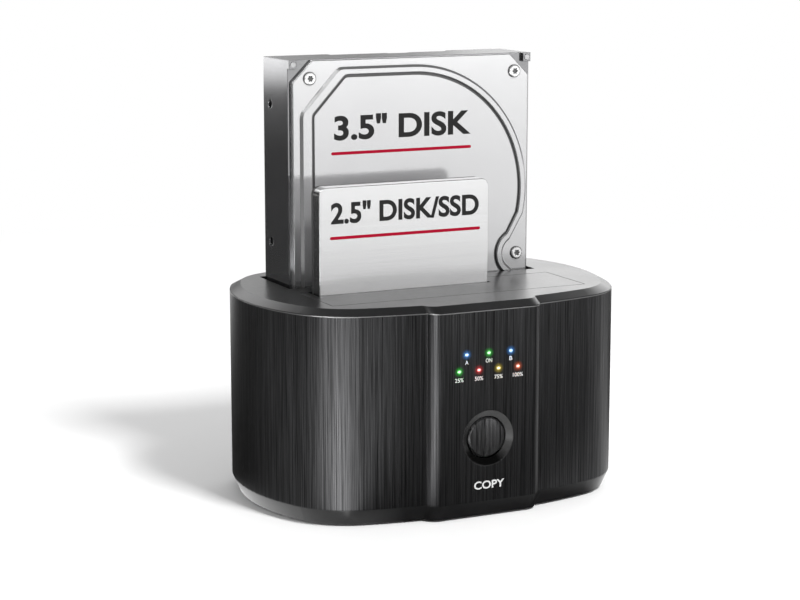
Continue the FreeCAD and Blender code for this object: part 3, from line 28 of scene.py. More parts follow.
MM = 0.001
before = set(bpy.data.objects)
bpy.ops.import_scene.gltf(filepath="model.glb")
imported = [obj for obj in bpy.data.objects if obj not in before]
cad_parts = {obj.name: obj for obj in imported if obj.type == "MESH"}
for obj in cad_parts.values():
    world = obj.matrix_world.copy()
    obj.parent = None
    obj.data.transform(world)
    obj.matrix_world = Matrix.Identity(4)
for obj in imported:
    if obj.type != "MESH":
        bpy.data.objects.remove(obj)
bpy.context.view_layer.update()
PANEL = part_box("side_sleeve")[0]
# Faces that meet at a wider angle than this, in degrees, are shaded as a sharp edge.
SHARP_ANGLE = 28.0
BLACK = (0.0, 0.0, 0.0)
WHITE = (1.0, 1.0, 1.0)


# Materials.


class Look:
    """A procedural material: a Principled shader and the nodes that drive it."""

    def __init__(self, name, metallic=0.0, edge=0.2):
        self.material = bpy.data.materials.new(name)
        self.material.use_nodes = True
        self.tree = self.material.node_tree
        self.shader = self.tree.nodes["Principled BSDF"]
        self.place = self.add("ShaderNodeTexCoord").outputs["Object"]
        self.shader.inputs["Metallic"].default_value = metallic
        rounded = self.add("ShaderNodeBevel", samples=4)
        rounded.inputs["Radius"].default_value = edge * MM
        self.normal = rounded.outputs["Normal"]
        self.link(self.normal, self.shader.inputs["Normal"])

    def add(self, kind, **values):
        node = self.tree.nodes.new(kind)
        for key, value in values.items():
            setattr(node, key, value)
        return node

    def link(self, source, target):
        self.tree.links.new(source, target)

    def feed(self, value, target):
        """Set a socket to a number or a colour, or link it to another socket."""
        if isinstance(value, (int, float)):
            target.default_value = value
        elif isinstance(value, tuple):
            target.default_value = (*value, 1.0)
        else:
            self.link(value, target)

    def axes(self, vector=None):
        """The X, Y and Z of a vector: the object's place, unless another one is given."""
        split = self.add("ShaderNodeSeparateXYZ")
        self.link(self.place if vector is None else vector, split.inputs["Vector"])
        return split.outputs

    def facing(self):
        """The X, Y and Z of the direction that each face points in."""
        return self.axes(self.add("ShaderNodeNewGeometry").outputs["True Normal"])

    def grain(self, scale, detail=4.0, contrast=1.0):
        """Noise whose scale is given per metre along each axis, spread from 0 to 1."""
        mapping = self.add("ShaderNodeMapping")
        mapping.inputs["Scale"].default_value = scale
        self.link(self.place, mapping.inputs["Vector"])
        noise = self.add("ShaderNodeTexNoise")
        noise.inputs["Scale"].default_value = 1.0
        noise.inputs["Detail"].default_value = detail
        self.link(mapping.outputs["Vector"], noise.inputs["Vector"])
        half = 0.28 / contrast
        return self.spread(noise.outputs["Fac"], 0.0, 1.0, 0.5 - half, 0.5 + half)

    def even_grain(self, scale, detail=6.0):
        return self.grain((scale, scale, scale), detail)

    def wear(self):
        return self.even_grain(60.0, 3.0)

    def spread(self, value, low, high, start=0.0, end=1.0):
        """Go from low to high while the value goes from start to end, and stay level beyond."""
        node = self.add("ShaderNodeMapRange")
        for name, number in zip(("From Min", "From Max", "To Min", "To Max"), (start, end, low, high)):
            node.inputs[name].default_value = number
        self.link(value, node.inputs["Value"])
        return node.outputs["Result"]

    def mixed(self, one, other, share=0.5):
        node = self.add("ShaderNodeMix", data_type="FLOAT")
        self.feed(share, node.inputs["Factor"])
        self.link(one, node.inputs["A"])
        self.link(other, node.inputs["B"])
        return node.outputs["Result"]

    def colours(self, share, one, other, kind="MIX"):
        """One colour where the share is 0 and the other where it is 1, or both added up."""
        node = self.add("ShaderNodeMix", data_type="RGBA", blend_type=kind)
        for value, name in ((share, "Factor"), (one, "A"), (other, "B")):
            self.feed(value, node.inputs[name])
        return node.outputs["Result"]

    def tint(self, value, dark, light):
        self.link(self.colours(value, dark, light), self.shader.inputs["Base Color"])
        return self

    def cover(self, share, colour):
        """Put another base colour over the present one where the share is 1."""
        base = self.shader.inputs["Base Color"]
        self.link(self.colours(share, base.links[0].from_socket, colour), base)
        return self

    def rough(self, value, low, high):
        self.link(self.spread(value, low, high), self.shader.inputs["Roughness"])
        return self

    def relief(self, value, depth, strength=0.4):
        node = self.add("ShaderNodeBump")
        node.inputs["Strength"].default_value = strength
        node.inputs["Distance"].default_value = depth * MM
        self.link(value, node.inputs["Height"])
        self.link(self.normal, node.inputs["Normal"])
        self.link(node.outputs["Normal"], self.shader.inputs["Normal"])
        return self

    def maths(self, operation, one, other):
        node = self.add("ShaderNodeMath", operation=operation)
        for value, target in zip((one, other), node.inputs):
            self.feed(value, target)
        return node.outputs[0]

    def plus(self, one, other):
        return self.maths("ADD", one, other)

    def times(self, one, other):
        return self.maths("MULTIPLY", one, other)

    def away(self, value, middle):
        """Distance of a value from a middle."""
        return self.maths("ABSOLUTE", self.plus(value, -middle), 0.0)

    def measure(self, place, scale):
        """Length of a place vector after scaling each axis."""
        scaled = self.add("ShaderNodeVectorMath", operation="MULTIPLY")
        scaled.inputs[1].default_value = scale
        self.link(place, scaled.inputs[0])
        length = self.add("ShaderNodeVectorMath", operation="LENGTH")
        self.link(scaled.outputs["Vector"], length.inputs[0])
        return length.outputs["Value"]

    def blend(self, share, one, other):
        """One shader where the share is 0 and the other where it is 1."""
        node = self.add("ShaderNodeMixShader")
        for value, target in zip((share, one, other), node.inputs):
            self.link(value, target)
        return node.outputs["Shader"]

    def brushed(self, amount, turn):
        """Stretch the highlights as brush strokes round the upright axis do, turned by a share of a turn."""
        node = self.add("ShaderNodeTangent", direction_type="RADIAL", axis="Z")
        self.link(node.outputs["Tangent"], self.shader.inputs["Tangent"])
        self.shader.inputs["Anisotropic"].default_value = amount
        self.shader.inputs["Anisotropic Rotation"].default_value = turn
        return self


def grey(value, blue=0.0):
    return (value, value, value * (1.0 + blue))


def plain_look(name, dark, light, rough, metallic=0.0, scale=900.0, depth=0.02, edge=0.2):
    """An even surface with fine grain and faint wear."""
    look = Look(name, metallic, edge)
    fine = look.even_grain(scale)
    both = look.mixed(fine, look.wear())
    return look.tint(both, dark, light).rough(both, *rough).relief(fine, depth)


def streaked_look(name, scale, dark, light, rough, metallic, depth=0.012, edge=0.3, contrast=1.3):
    """A brushed surface: fine streaks over broader ones."""
    look = Look(name, metallic, edge)
    fine = look.grain(scale, 5.0, contrast)
    broad = look.grain(tuple(part / 4.0 for part in scale), 3.0, contrast)
    both = look.mixed(fine, broad, 0.45)
    return look.tint(both, dark, light).rough(both, *rough).relief(fine, depth)


# Each row of lamps: its height, and the place and colour of each lamp, in millimetres.
LAMP_ROWS = (
    (61.7, ((-9.0, "blue"), (0.0, "green"), (9.0, "blue"))),
    (55.7, ((-12.0, "green"), (-4.0, "red"), (4.0, "yellow"), (12.0, "orange"))),
)
LAMP_COLOURS = {
    "blue": (0.05, 0.36, 1.0),
    "green": (0.02, 0.8, 0.04),
    "red": (1.0, 0.02, 0.02),
    "yellow": (0.8, 0.6, 0.02),
    "orange": (1.0, 0.14, 0.01),
}
LAMP_SPAN = 15.0


def from_lamp(look, axes, height, lamps, squeeze=1.0):
    """Distance from the nearest lamp of a row, counted more up and down where squeezed."""
    gap = lamps[1][0] - lamps[0][0]
    offset = look.plus(axes["X"], (gap - lamps[0][0] % gap) * MM)
    across = look.maths("PINGPONG", offset, gap / 2 * MM)
    down = look.times(look.plus(axes["Z"], -height * MM), squeeze)
    return look.maths("POWER", look.plus(look.times(across, across), look.times(down, down)), 0.5)


def lamp_colour(look, axes, lamps):
    """The colour of the lamp nearest across a row."""
    ramp = look.add("ShaderNodeValToRGB")
    ramp.color_ramp.interpolation = "CONSTANT"
    steps = ramp.color_ramp.elements
    while len(steps) < len(lamps):
        steps.new(0.5)
    halfway = [(one[0] + other[0]) / 2 for one, other in zip(lamps, lamps[1:])]
    edges = [0.0] + [(place + LAMP_SPAN) / (2 * LAMP_SPAN) for place in halfway]
    for step, place, (_, colour) in zip(steps, edges, lamps):
        step.position = place
        step.color = (*LAMP_COLOURS[colour], 1.0)
    look.link(look.spread(axes["X"], 0.0, 1.0, -LAMP_SPAN * MM, LAMP_SPAN * MM), ramp.inputs["Fac"])
    return ramp.outputs["Color"]


def painted_lamp_spill(look):
    """Coloured light from each lamp, painted as a glow on the brushed panel round it."""
    core, rim, strength = 0.5, 2.3, 0.45
    axes = look.axes()
    rows = []
    for height, lamps in LAMP_ROWS:
        reach = from_lamp(look, axes, height, lamps)
        close = look.spread(reach, 1.0, 0.0, core * MM, rim * MM)
        last = abs(lamps[0][0]) + 2.5
        inside = look.spread(look.away(axes["X"], 0.0), 1.0, 0.0, last * MM, (last + 0.5) * MM)
        part = look.times(look.times(close, close), inside)
        rows.append(look.colours(part, BLACK, lamp_colour(look, axes, lamps)))
    look.link(look.colours(1.0, *rows, "ADD"), look.shader.inputs["Emission Color"])
    front = look.spread(axes["Y"], strength, 0.0, PANEL.y + 0.1 * MM, PANEL.y + 0.2 * MM)
    look.link(front, look.shader.inputs["Emission Strength"])


def brushed_black():
    """Black brushed aluminium, with a lighter band along the cut edge at its top: partly bare metal, partly
    a painted highlight.
    """
    look = streaked_look(
        "brushed_black", (7600.0, 7600.0, 46.0), grey(0.003, 0.02), grey(0.082, 0.03), (0.38, 0.26),
        metallic=0.9, edge=0.5, contrast=1.7,
    )
    painted_lamp_spill(look)
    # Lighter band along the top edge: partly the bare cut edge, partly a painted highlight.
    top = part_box("side_sleeve")[1].z
    look.cover(look.spread(look.axes()["Z"], 0.0, 1.0, top - 0.4 * MM, top - 0.3 * MM), grey(0.3))
    return look.brushed(0.55, 0.25).material


def satin_black():
    look = plain_look(
        "satin_black", grey(0.008), grey(0.016, 0.05), (0.28, 0.36), depth=0.004, edge=0.3
    )
    return look.material


def gloss_black():
    """Smooth black plastic, with painted light making the dish of the ring lighter where it faces down and
    to the left.
    """
    look = Look("gloss_black", edge=0.25)
    fine = look.even_grain(900.0)
    facing = look.facing()
    # Painted light: faces of the ring that point down and to the left are made lighter.
    under = look.plus(facing["Z"], look.times(facing["X"], 0.7))
    light = look.times(look.spread(fine, 0.85, 1.0), look.spread(under, 1.0, 0.0, -0.5, 0.3))
    look.shader.inputs["Specular IOR Level"].default_value = 0.3
    look.tint(light, grey(0.001), grey(0.075))
    return look.rough(fine, 0.22, 0.28).relief(fine, 0.0005).material


def black_plastic():
    look = plain_look("black_plastic", grey(0.012), grey(0.03), (0.5, 0.7), scale=1800.0, depth=0.03)
    return look.material


def rubber():
    look = plain_look("rubber", grey(0.02), grey(0.045), (0.75, 0.92), scale=700.0, depth=0.05)
    return look.material


def steel():
    look = plain_look(
        "steel", grey(0.42), grey(0.62, 0.02), (0.22, 0.42), metallic=1.0, scale=1500.0, depth=0.01
    )
    return look.material


def screw_steel():
    """Bright plated screws, with painted shade darkening the sides of their heads and their sockets."""
    look = Look("screw_steel", metallic=0.6)
    fine = look.even_grain(1500.0)
    depth = look.plus(look.axes()["Y"], -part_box("hdd_cover_screws")[0].y)
    # Painted shade: below 0.2 mm from the top of the heads, the colour falls to about an eighth.
    crown = look.spread(depth, 1.0, 0.0, 0.2 * MM, 0.35 * MM)
    light = look.times(look.spread(fine, 0.92, 1.0), look.spread(crown, 0.12, 1.0))
    look.tint(light, grey(0.02), grey(0.95))
    return look.rough(light, 0.4, 0.26).relief(fine, 0.004).material


def domed(look, box):
    """Take the crown of the cap as a part of one sphere, which its facets only come near."""
    low, high = box
    rise, rim, band = 0.3 * MM, 6.9 * MM, 0.02 * MM
    middle = (0.0, low.y + (rim * rim + rise * rise) / (2 * rise), (low.z + high.z) / 2)
    ray = look.add("ShaderNodeVectorMath", operation="SUBTRACT")
    look.link(look.place, ray.inputs[0])
    ray.inputs[1].default_value = middle
    even = look.add("ShaderNodeVectorMath", operation="NORMALIZE")
    look.link(ray.outputs["Vector"], even.inputs[0])
    crown = look.spread(look.axes()["Y"], 1.0, 0.0, low.y + rise, low.y + rise + band)
    normal = look.add("ShaderNodeMix", data_type="VECTOR")
    for value, name in ((crown, "Factor"), (look.normal, "A"), (even.outputs["Vector"], "B")):
        look.link(value, normal.inputs[name])
    bump = look.shader.inputs["Normal"].links[0].from_node
    look.link(normal.outputs["Result"], bump.inputs["Normal"])


def button_metal():
    """The same brushed metal as the panel, in coarser streaks."""
    look = streaked_look(
        "button_metal", (2600.0, 2600.0, 40.0), grey(0.0), grey(0.2, 0.02), (0.4, 0.24),
        metallic=0.9, edge=0.35, contrast=1.8,
    )
    domed(look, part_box("clone_button"))
    return look.brushed(0.5, 0.25).material


def lid_silver():
    """Bright stamped metal, with painted shade making the chamfers and the sunk level of its pressed line
    dark.
    """
    look = Look("lid_silver", metallic=0.75)
    fine = look.even_grain(3000.0)
    worn = look.wear()
    depth = look.plus(look.axes()["Y"], -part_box("hdd_cover")[0].y)
    # Painted shade: the sunk level of the pressed line and the slanted chamfers are darkened.
    level = look.spread(look.away(depth, 0.79 * MM), 1.0, 0.0, 0.26 * MM, 0.28 * MM)
    shaded_slant = look.away(look.away(look.facing()["Y"], 0.0), 0.65)
    shaded_slant = look.spread(shaded_slant, 1.0, 0.0, 0.12, 0.2)
    shaded_line_floor = look.times(level, look.spread(shaded_slant, 1.0, 0.0))
    pressed = look.maths("MAXIMUM", shaded_line_floor, look.times(shaded_slant, 0.6))
    even = look.spread(look.mixed(fine, worn), 0.9, 1.0)
    light = look.times(even, look.spread(pressed, 1.0, 0.05))
    look.tint(light, grey(0.1), grey(0.66, 0.01))
    return look.rough(light, 0.36, 0.16).relief(fine, 0.0004).material


def cast_dark():
    """Cast metal, with painted shade darkening the faces that point up to a quarter."""
    look = Look("cast_dark", metallic=0.93, edge=0.4)
    fine = look.even_grain(1100.0)
    worn = look.wear()
    # Painted shade: faces that point up are darkened.
    shaded_top = look.spread(look.facing()["Z"], 0.0, 1.0, 0.7, 0.9)
    even = look.spread(look.mixed(fine, worn), 0.8, 1.0)
    light = look.times(even, look.spread(shaded_top, 1.0, 0.25))
    look.tint(light, grey(0.0), grey(0.38, 0.02))
    return look.rough(light, 0.5, 0.04).relief(fine, 0.0005).material


def ssd_silver():
    """Brushed aluminium across the face, with painted shade making the two upright sides dark grey."""
    look = streaked_look(
        "ssd_silver", (14.0, 700.0, 1800.0), grey(0.74), grey(0.8, 0.01), (0.27, 0.23),
        metallic=0.78, depth=0.0001, contrast=1.0,
    )
    # Painted shade: the upright sides are covered with dark grey.
    side = look.spread(look.away(look.facing()["X"], 0.0), 0.0, 1.0, 0.75, 0.95)
    return look.cover(side, grey(0.14)).brushed(0.4, 0.0).material


def ssd_shell():
    """The back shell of the small drive, with painted shade darkening its thin sides."""
    look = Look("ssd_shell", metallic=0.2, edge=0.3)
    fine = look.even_grain(1500.0)
    # Painted shade: faces that don't point to the front or back are darkened to a tenth.
    side = look.spread(look.away(look.facing()["Y"], 0.0), 0.1, 1.0, 0.5, 0.8)
    light = look.times(look.spread(fine, 0.9, 1.0), side)
    look.tint(light, grey(0.0), grey(0.75, 0.01))
    return look.rough(light, 0.5, 0.35).relief(fine, 0.001).material


def board_green():
    """Solder mask over a pattern of tracks."""
    look = Look("board_green")
    tracks = look.add("ShaderNodeTexVoronoi", feature="DISTANCE_TO_EDGE", distance="CHEBYCHEV")
    tracks.inputs["Scale"].default_value = 800.0
    look.link(look.place, tracks.inputs["Vector"])
    line = look.spread(tracks.outputs["Distance"], 1.0, 0.0, 0.04, 0.09)
    look.tint(line, (0.004, 0.045, 0.02), (0.01, 0.085, 0.036))
    return look.rough(look.even_grain(900.0, 4.0), 0.25, 0.4).relief(line, 0.02).material


def chip_black():
    look = plain_look("chip_black", grey(0.014), grey(0.03), (0.45, 0.6), scale=2500.0)
    return look.material


def print_look(name, colour):
    dark = tuple(part * 0.9 for part in colour)
    look = plain_look(name, dark, colour, (0.6, 0.75), scale=3000.0, depth=0.003, edge=0.02)
    look.shader.inputs["Specular IOR Level"].default_value = 0.15
    return look.material


def light_pipe():
    """Clear plastic whose tips shine in the colour of the lamp behind each one."""
    brightness, tip, squeeze = 1.6, 0.4, 1.7
    look = Look("light_pipe", edge=0.05)
    fine = look.even_grain(1500.0, 4.0)
    look.tint(fine, grey(0.1), grey(0.16)).rough(fine, 0.15, 0.35)
    axes = look.axes()
    upper, lower = [lamp_colour(look, axes, lamps) for _, lamps in LAMP_ROWS]
    middle = sum(height for height, _ in LAMP_ROWS) / 2 * MM
    above = look.spread(axes["Z"], 0.0, 1.0, middle - 0.1 * MM, middle + 0.1 * MM)
    colour = look.colours(above, lower, upper)
    reach = look.maths(
        "MINIMUM", *[from_lamp(look, axes, height, lamps, squeeze) for height, lamps in LAMP_ROWS]
    )
    hot = look.spread(reach, 0.95, 0.0, 0.1 * MM, 0.85 * MM)
    look.link(look.colours(hot, colour, WHITE), look.shader.inputs["Emission Color"])
    front = PANEL.y + tip * MM
    lit = look.spread(axes["Y"], brightness, 0.0, front, front + 0.2 * MM)
    lit = look.times(lit, look.spread(reach, 1.0, 0.06, 0.45 * MM, 1.0 * MM))
    look.link(lit, look.shader.inputs["Emission Strength"])
    return look.material


LOOKS = {
    brushed_black: ("side_sleeve",),
    satin_black: ("top_cover", "base_tray", "front_flap", "rear_flap"),
    gloss_black: ("button_bezel",),
    black_plastic: (
        "bay_guide", "rear_panel", "sata_socket_front", "sata_socket_rear", "power_jack",
        "power_switch", "power_rocker", "push_switch", "switch_plunger", "hdd_sata_plug",
        "ssd_sata_plug",
    ),
    rubber: ("rubber_feet",),
    steel: (
        "case_screws", "guide_screws", "flap_pins", "front_flap_spring", "rear_flap_spring",
        "board_screws", "front_board_screws", "usb_socket", "power_jack_pin", "board_capacitors",
        "hdd_corner_pins", "ssd_screws",
    ),
    screw_steel: ("hdd_cover_screws",),
    button_metal: ("clone_button",),
    light_pipe: ("light_pipes", "lamps"),
    board_green: ("main_board", "front_board", "hdd_circuit_board"),
    chip_black: ("board_chips", "power_coils"),
    lid_silver: ("hdd_cover",),
    cast_dark: ("hdd_casting",),
    ssd_silver: ("ssd_cover",),
    ssd_shell: ("ssd_base",),
}


def dress_nodes():
    for make, names in LOOKS.items():
        material = make()
        for name in names:
            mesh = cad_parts[name].data
            mesh.materials.clear()
            mesh.materials.append(material)
            mesh.polygons.foreach_set("use_smooth", [True] * len(mesh.polygons))
            mesh.set_sharp_from_angle(angle=math.radians(SHARP_ANGLE))


# Printed marks, in millimetres.

# How far the backs of the marks lie behind the face of the panel, and how thick the marks are. The thin
# lines along the lamps end below the face.
SUNK = 0.02
INK, THIN_INK = 0.03, 0.01
BAR_HEIGHT, LABEL_HEIGHT, LINE_HEIGHT = 1.15, 1.5, 0.3
# Text, place across and width of each label under the upper and the lower row of lamps.
UPPER_LABELS = (("A", -9.0, 1.3), ("ON", 0.0, 2.6), ("B", 9.0, 1.2))
LOWER_LABELS = (("25%", -12.0, 3.4), ("50%", -4.0, 3.4), ("75%", 4.0, 3.4), ("100%", 12.0, 4.2))
UPPER_HEIGHT, LOWER_HEIGHT = 58.9, 52.6
# Where the line along each row of lamps starts and ends.
LINE_ENDS = ((-9.0, 11.7), (-12.0, 14.0))
# How far the words on the lid lie behind its front.
LID_FIELD = 0.5


def add_piece(name, mesh, material, body):
    piece = bpy.data.objects.new(name, mesh)
    bpy.context.scene.collection.objects.link(piece)
    mesh.materials.clear()
    mesh.materials.append(material)
    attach(piece, body)
    return piece


def lettering(name, text, size, centre, weight, material, body):
    """Printed words: size is their width and height, centre a point on the face behind them."""
    curve = bpy.data.curves.new(name, "FONT")
    curve.body = text
    curve.extrude = 0.01
    curve.offset = weight
    holder = bpy.data.objects.new(name + "_curve", curve)
    bpy.context.scene.collection.objects.link(holder)
    bpy.context.view_layer.update()
    shown = holder.evaluated_get(bpy.context.evaluated_depsgraph_get())
    mesh = bpy.data.meshes.new_from_object(shown)
    bpy.data.objects.remove(holder)
    low = [min(v.co[i] for v in mesh.vertices) for i in range(3)]
    high = [max(v.co[i] for v in mesh.vertices) for i in range(3)]
    for vertex in mesh.vertices:
        share = [(vertex.co[i] - low[i]) / (high[i] - low[i]) for i in range(3)]
        x = centre[0] + (share[0] - 0.5) * size[0]
        y = centre[1] - share[2] * INK
        z = centre[2] + (share[1] - 0.5) * size[1]
        vertex.co = Vector((x, y, z)) * MM
    return add_piece(name, mesh, material, body)


def stripe(name, size, centre, material, body, thick=INK):
    """A printed bar with rounded ends."""
    half = size[1] / 2
    reach = size[0] / 2 - half
    steps = 8
    rim = []
    for end in (1, -1):
        for step in range(steps + 1):
            angle = math.radians(-90 + 180 / steps * step)
            rim.append((end * (reach + half * math.cos(angle)), end * half * math.sin(angle)))
    points = []
    for depth in (0.0, -thick):
        points += [Vector((centre[0] + x, centre[1] + depth, centre[2] + z)) * MM for x, z in rim]
    count = len(rim)
    faces = [tuple(range(count - 1, -1, -1)), tuple(range(count, 2 * count))]
    for i in range(count):
        j = (i + 1) % count
        faces.append((i, j, j + count, i + count))
    mesh = bpy.data.meshes.new(name)
    mesh.from_pydata(points, [], faces)
    return add_piece(name, mesh, material, body)


def print_panel():
    white = print_look("print_white", grey(0.62))
    faint = print_look("print_faint", grey(0.004))
    panel = PANEL.y / MM + SUNK
    for (height, _), ends in zip(LAMP_ROWS, LINE_ENDS):
        middle = (sum(ends) / 2, panel, height)
        size = (ends[1] - ends[0], LINE_HEIGHT)
        stripe(f"lamp_line_{int(height)}", size, middle, faint, "dock", THIN_INK)
    for labels, height in ((UPPER_LABELS, UPPER_HEIGHT), (LOWER_LABELS, LOWER_HEIGHT)):
        for text, x, wide in labels:
            name = "label_" + text.rstrip("%")
            lettering(name, text, (wide, LABEL_HEIGHT), (x, panel, height), 0.01, white, "dock")
    lettering("label_copy", "COPY", (12.4, 3.0), (0.5, panel, 12.7), 0.02, white, "dock")


def print_drives():
    dark = print_look("print_dark", grey(0.02))
    red = print_look("print_red", (0.36, 0.0, 0.02))
    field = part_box("hdd_cover")[0].y / MM + LID_FIELD
    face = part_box("ssd_cover")[0].y / MM
    large, small = "hard_drive", "solid_state_drive"
    lettering("mark_large", '3.5" DISK', (57.5, 9.6), (-4.4, field, 138.6), 0.03, dark, large)
    stripe("line_large", (58.9, BAR_HEIGHT), (-4.9, field, 129.0), red, large)
    lettering("mark_small", '2.5" DISK/SSD', (61.0, 8.2), (-13.2, face, 109.7), 0.03, dark, small)
    stripe("line_small", (62.0, BAR_HEIGHT), (-13.1, face, 100.5), red, small)


# Studio.

MIDDLE = (0.0, 0.0, 0.08)
DRIVES = (0.0, 0.0, 0.14)
# Name, place, aim, size, power in watts, whether reflections show it, and whether it lights matt surfaces.
LIGHTS = (
    ("key", (0.23, -0.95, 1.23), MIDDLE, (0.3, 0.3), 21.0, False, True),
    ("front_left", (-1.0, -1.0, 0.62), MIDDLE, (0.9, 0.25), 3.0, True, False),
    ("upper_left", (-0.75, -0.1, 1.25), MIDDLE, (0.45, 0.7), 12.0, True, False),
    ("top_back", (0.1, 1.5, 1.35), MIDDLE, (0.9, 0.7), 1.5, True, False),
    ("drive_card", (0.75, -1.35, 0.34), DRIVES, (0.9, 0.5), 3.0, True, True),
    ("back_left", (0.03, 1.81, 0.93), MIDDLE, (1.5, 0.85), 7.2, True, True),
    ("back_right", (1.28, 1.38, 0.77), MIDDLE, (1.1, 1.2), 11.0, True, True),
    ("back_low", (0.81, 1.82, 0.28), DRIVES, (0.38, 0.26), 0.28, True, True),
)
# The small light in front of each lamp.
GLOW_POWER = 0.0003
GLOW_SIZE = 0.4 * MM
GLOW_GAP = 1.2 * MM
FLOOR_SIZE = 16.0
DOCK_HALF_WIDTH, DOCK_HALF_DEPTH = 0.0729, 0.0541
# Where the bearings of the lights on the floor are taken from.
BEARING_CENTRE = (-0.052, -0.045)
# Light on the floor as reflections see it, by bearing from the front: the bearing of its middle, its
# strength there and far from it, and how far from the middle it starts and ends to fade, in degrees.
FLOOR_LIGHTS = (
    (-37.0, 5.6, 0.04, 4.0, 53.0),
    (-105.0, 0.6, 0.0, 12.0, 45.0),
    (92.0, 0.9, 0.0, 6.0, 22.0),
)
CAMERA_PLACE = (-359.45, -720.59, 220.42)
CAMERA_TURN, CAMERA_TILT = -25.91, 10.44
SENSOR_WIDTH, LENS = 36.0, 96.52


def add_lights():
    for name, place, aim, size, power, mirrored, lighting in LIGHTS:
        light = bpy.data.lights.new(name, "AREA")
        light.shape = "RECTANGLE"
        light.size, light.size_y = size
        light.energy = power
        item = bpy.data.objects.new(name, light)
        item.location = place
        item.rotation_euler = (Vector(aim) - Vector(place)).to_track_quat("-Z", "Y").to_euler()
        item.visible_camera = False
        item.visible_glossy = mirrored
        item.visible_diffuse = lighting
        bpy.context.scene.collection.objects.link(item)


def lamp_glow():
    for height, lamps in LAMP_ROWS:
        for x, colour in lamps:
            light = bpy.data.lights.new("glow", "POINT")
            light.color = LAMP_COLOURS[colour]
            light.energy = GLOW_POWER
            light.shadow_soft_size = GLOW_SIZE
            item = bpy.data.objects.new(f"glow_{int(height)}_{int(x)}", light)
            item.location = (x * MM, PANEL.y - GLOW_GAP, height * MM)
            item.visible_camera = False
            item.visible_glossy = False
            bpy.context.scene.collection.objects.link(item)


def floor_lights(look, axes, near, away):
    """The lights of the table, which fade out under the dock and far from it."""
    right = look.plus(axes["X"], -BEARING_CENTRE[0])
    forward = look.plus(look.times(axes["Y"], -1.0), BEARING_CENTRE[1])
    bearing = look.maths("ARCTAN2", right, forward)
    parts = []
    for middle, strong, weak, start, end in FLOOR_LIGHTS:
        off = look.away(bearing, math.radians(middle))
        parts.append(look.spread(off, strong, weak, math.radians(start), math.radians(end)))
    front, flank, edge = parts
    lights = look.plus(front, look.plus(flank, edge))
    lights = look.times(lights, look.spread(near, 0.0, 1.0, 1.02, 1.25))
    return look.times(lights, look.spread(away, 1.0, 0.0, 0.42, 0.6))


def floor_behind(look, axes, away):
    """Light floor far behind the dock, and nearer to it on the right."""
    dim = look.spread(away, 0.05, 0.15, 1.2, 1.7)
    bright = look.spread(away, 0.0, 2.1, 1.8, 2.25)
    far = look.times(look.plus(dim, bright), look.spread(axes["Y"], 0.0, 1.0, 0.1, 0.3))
    rear = look.spread(look.plus(axes["X"], look.times(axes["Y"], 0.25)), 0.0, 1.0, -0.05, 0.12)
    rear = look.times(rear, look.spread(axes["Y"], 0.0, 0.9, 0.2, 0.55))
    return look.plus(far, rear)


def floor_in_reflections(look):
    """How bright reflections see the floor: its lights, close to the dock, on the right and behind."""
    axes = look.axes()
    x, y = axes["X"], axes["Y"]
    near = look.measure(look.place, (1 / DOCK_HALF_WIDTH, 1 / DOCK_HALF_DEPTH, 0.0))
    away = look.measure(look.place, (1.0, 1.0, 0.0))
    lights = floor_lights(look, axes, near, away)
    bounce = look.times(look.spread(near, 1.9, 0.0, 1.0, 1.2), look.spread(x, 1.0, 0.0, -0.07, -0.03))
    side = look.times(look.spread(near, 3.0, 0.0, 1.0, 1.2), look.spread(x, 0.0, 1.0, 0.05, 0.07))
    right = look.times(look.spread(away, 0.0, 1.05, 0.28, 0.6), look.spread(x, 0.0, 1.0, -0.02, 0.12))
    right = look.times(right, look.spread(y, 1.0, 0.0, -0.2, 0.1))
    behind = floor_behind(look, axes, away)
    return look.plus(look.plus(lights, bounce), look.plus(side, look.plus(right, behind)))


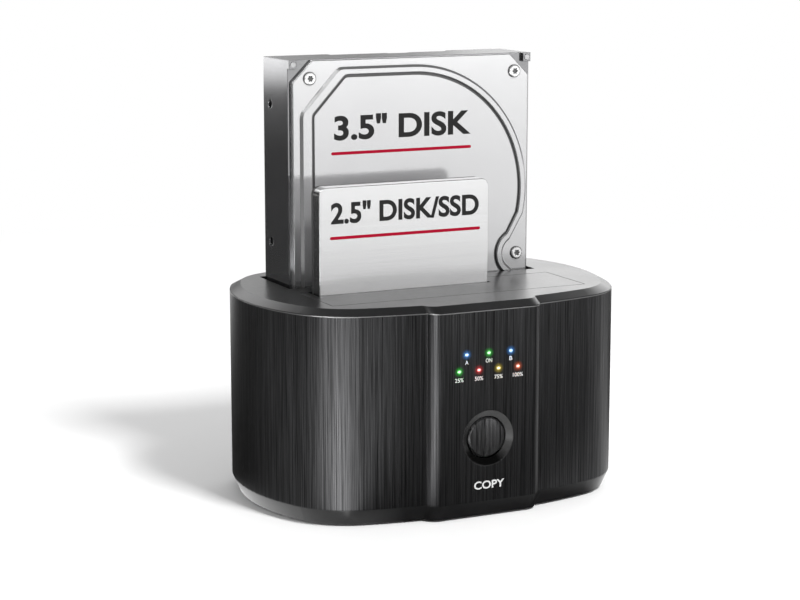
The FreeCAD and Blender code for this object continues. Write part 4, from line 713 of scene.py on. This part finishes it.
def white_floor():
    """A white floor that takes the shadow and turns to plain white further out."""
    bpy.ops.mesh.primitive_plane_add(size=FLOOR_SIZE, location=(0.0, 0.0, 0.0))
    floor = bpy.context.object
    floor.name = "floor"
    look = Look("floor")
    fine = look.even_grain(40.0, 4.0)
    look.tint(fine, grey(0.93), grey(0.95)).rough(fine, 0.85, 0.95)
    white = look.add("ShaderNodeEmission")
    away = look.measure(look.place, (1.0, 1.0, 0.0))
    far = look.spread(away, 0.0, 1.0, 0.3, 0.7)
    ground = look.blend(far, look.shader.outputs["BSDF"], white.outputs["Emission"])
    mirrored = look.add("ShaderNodeEmission")
    look.link(floor_in_reflections(look), mirrored.inputs["Strength"])
    path = look.add("ShaderNodeLightPath")
    whole = look.blend(path.outputs["Is Glossy Ray"], ground, mirrored.outputs["Emission"])
    look.link(whole, look.tree.nodes["Material Output"].inputs["Surface"])
    look.material.cycles.emission_sampling = "NONE"
    floor.data.materials.append(look.material)


def studio_world():
    """White for the camera, softer for the light that falls, and a dim room for reflections."""
    falling, seen, mirrored = 0.5, 1.0, 0.05
    world = bpy.data.worlds.new("studio")
    world.use_nodes = True
    tree = world.node_tree
    background = tree.nodes["Background"]
    path = tree.nodes.new("ShaderNodeLightPath")
    mixes = []
    for ray, strength in (("Is Camera Ray", seen), ("Is Glossy Ray", mirrored)):
        mix = tree.nodes.new("ShaderNodeMix")
        tree.links.new(path.outputs[ray], mix.inputs["Factor"])
        mix.inputs["B"].default_value = strength
        mixes.append(mix)
    mixes[0].inputs["A"].default_value = falling
    tree.links.new(mixes[0].outputs["Result"], mixes[1].inputs["A"])
    tree.links.new(mixes[1].outputs["Result"], background.inputs["Strength"])
    background.inputs["Color"].default_value = (*WHITE, 1.0)
    world.cycles.sampling_method = "NONE"
    bpy.context.scene.world = world


def camera():
    turn, tilt = math.radians(CAMERA_TURN), math.radians(CAMERA_TILT)
    back = Vector((math.sin(turn) * math.cos(tilt), -math.cos(turn) * math.cos(tilt), math.sin(tilt)))
    data = bpy.data.cameras.new("camera")
    data.sensor_width = SENSOR_WIDTH
    data.lens = LENS
    data.clip_end = 50.0
    item = bpy.data.objects.new("camera", data)
    item.location = Vector(CAMERA_PLACE) * MM
    item.rotation_euler = (-back).to_track_quat("-Z", "Y").to_euler()
    bpy.context.scene.collection.objects.link(item)
    bpy.context.scene.camera = item


dress_nodes()
print_panel()
print_drives()
lamp_glow()
white_floor()
studio_world()
add_lights()
camera()
bpy.context.scene.view_settings.view_transform = "Standard"
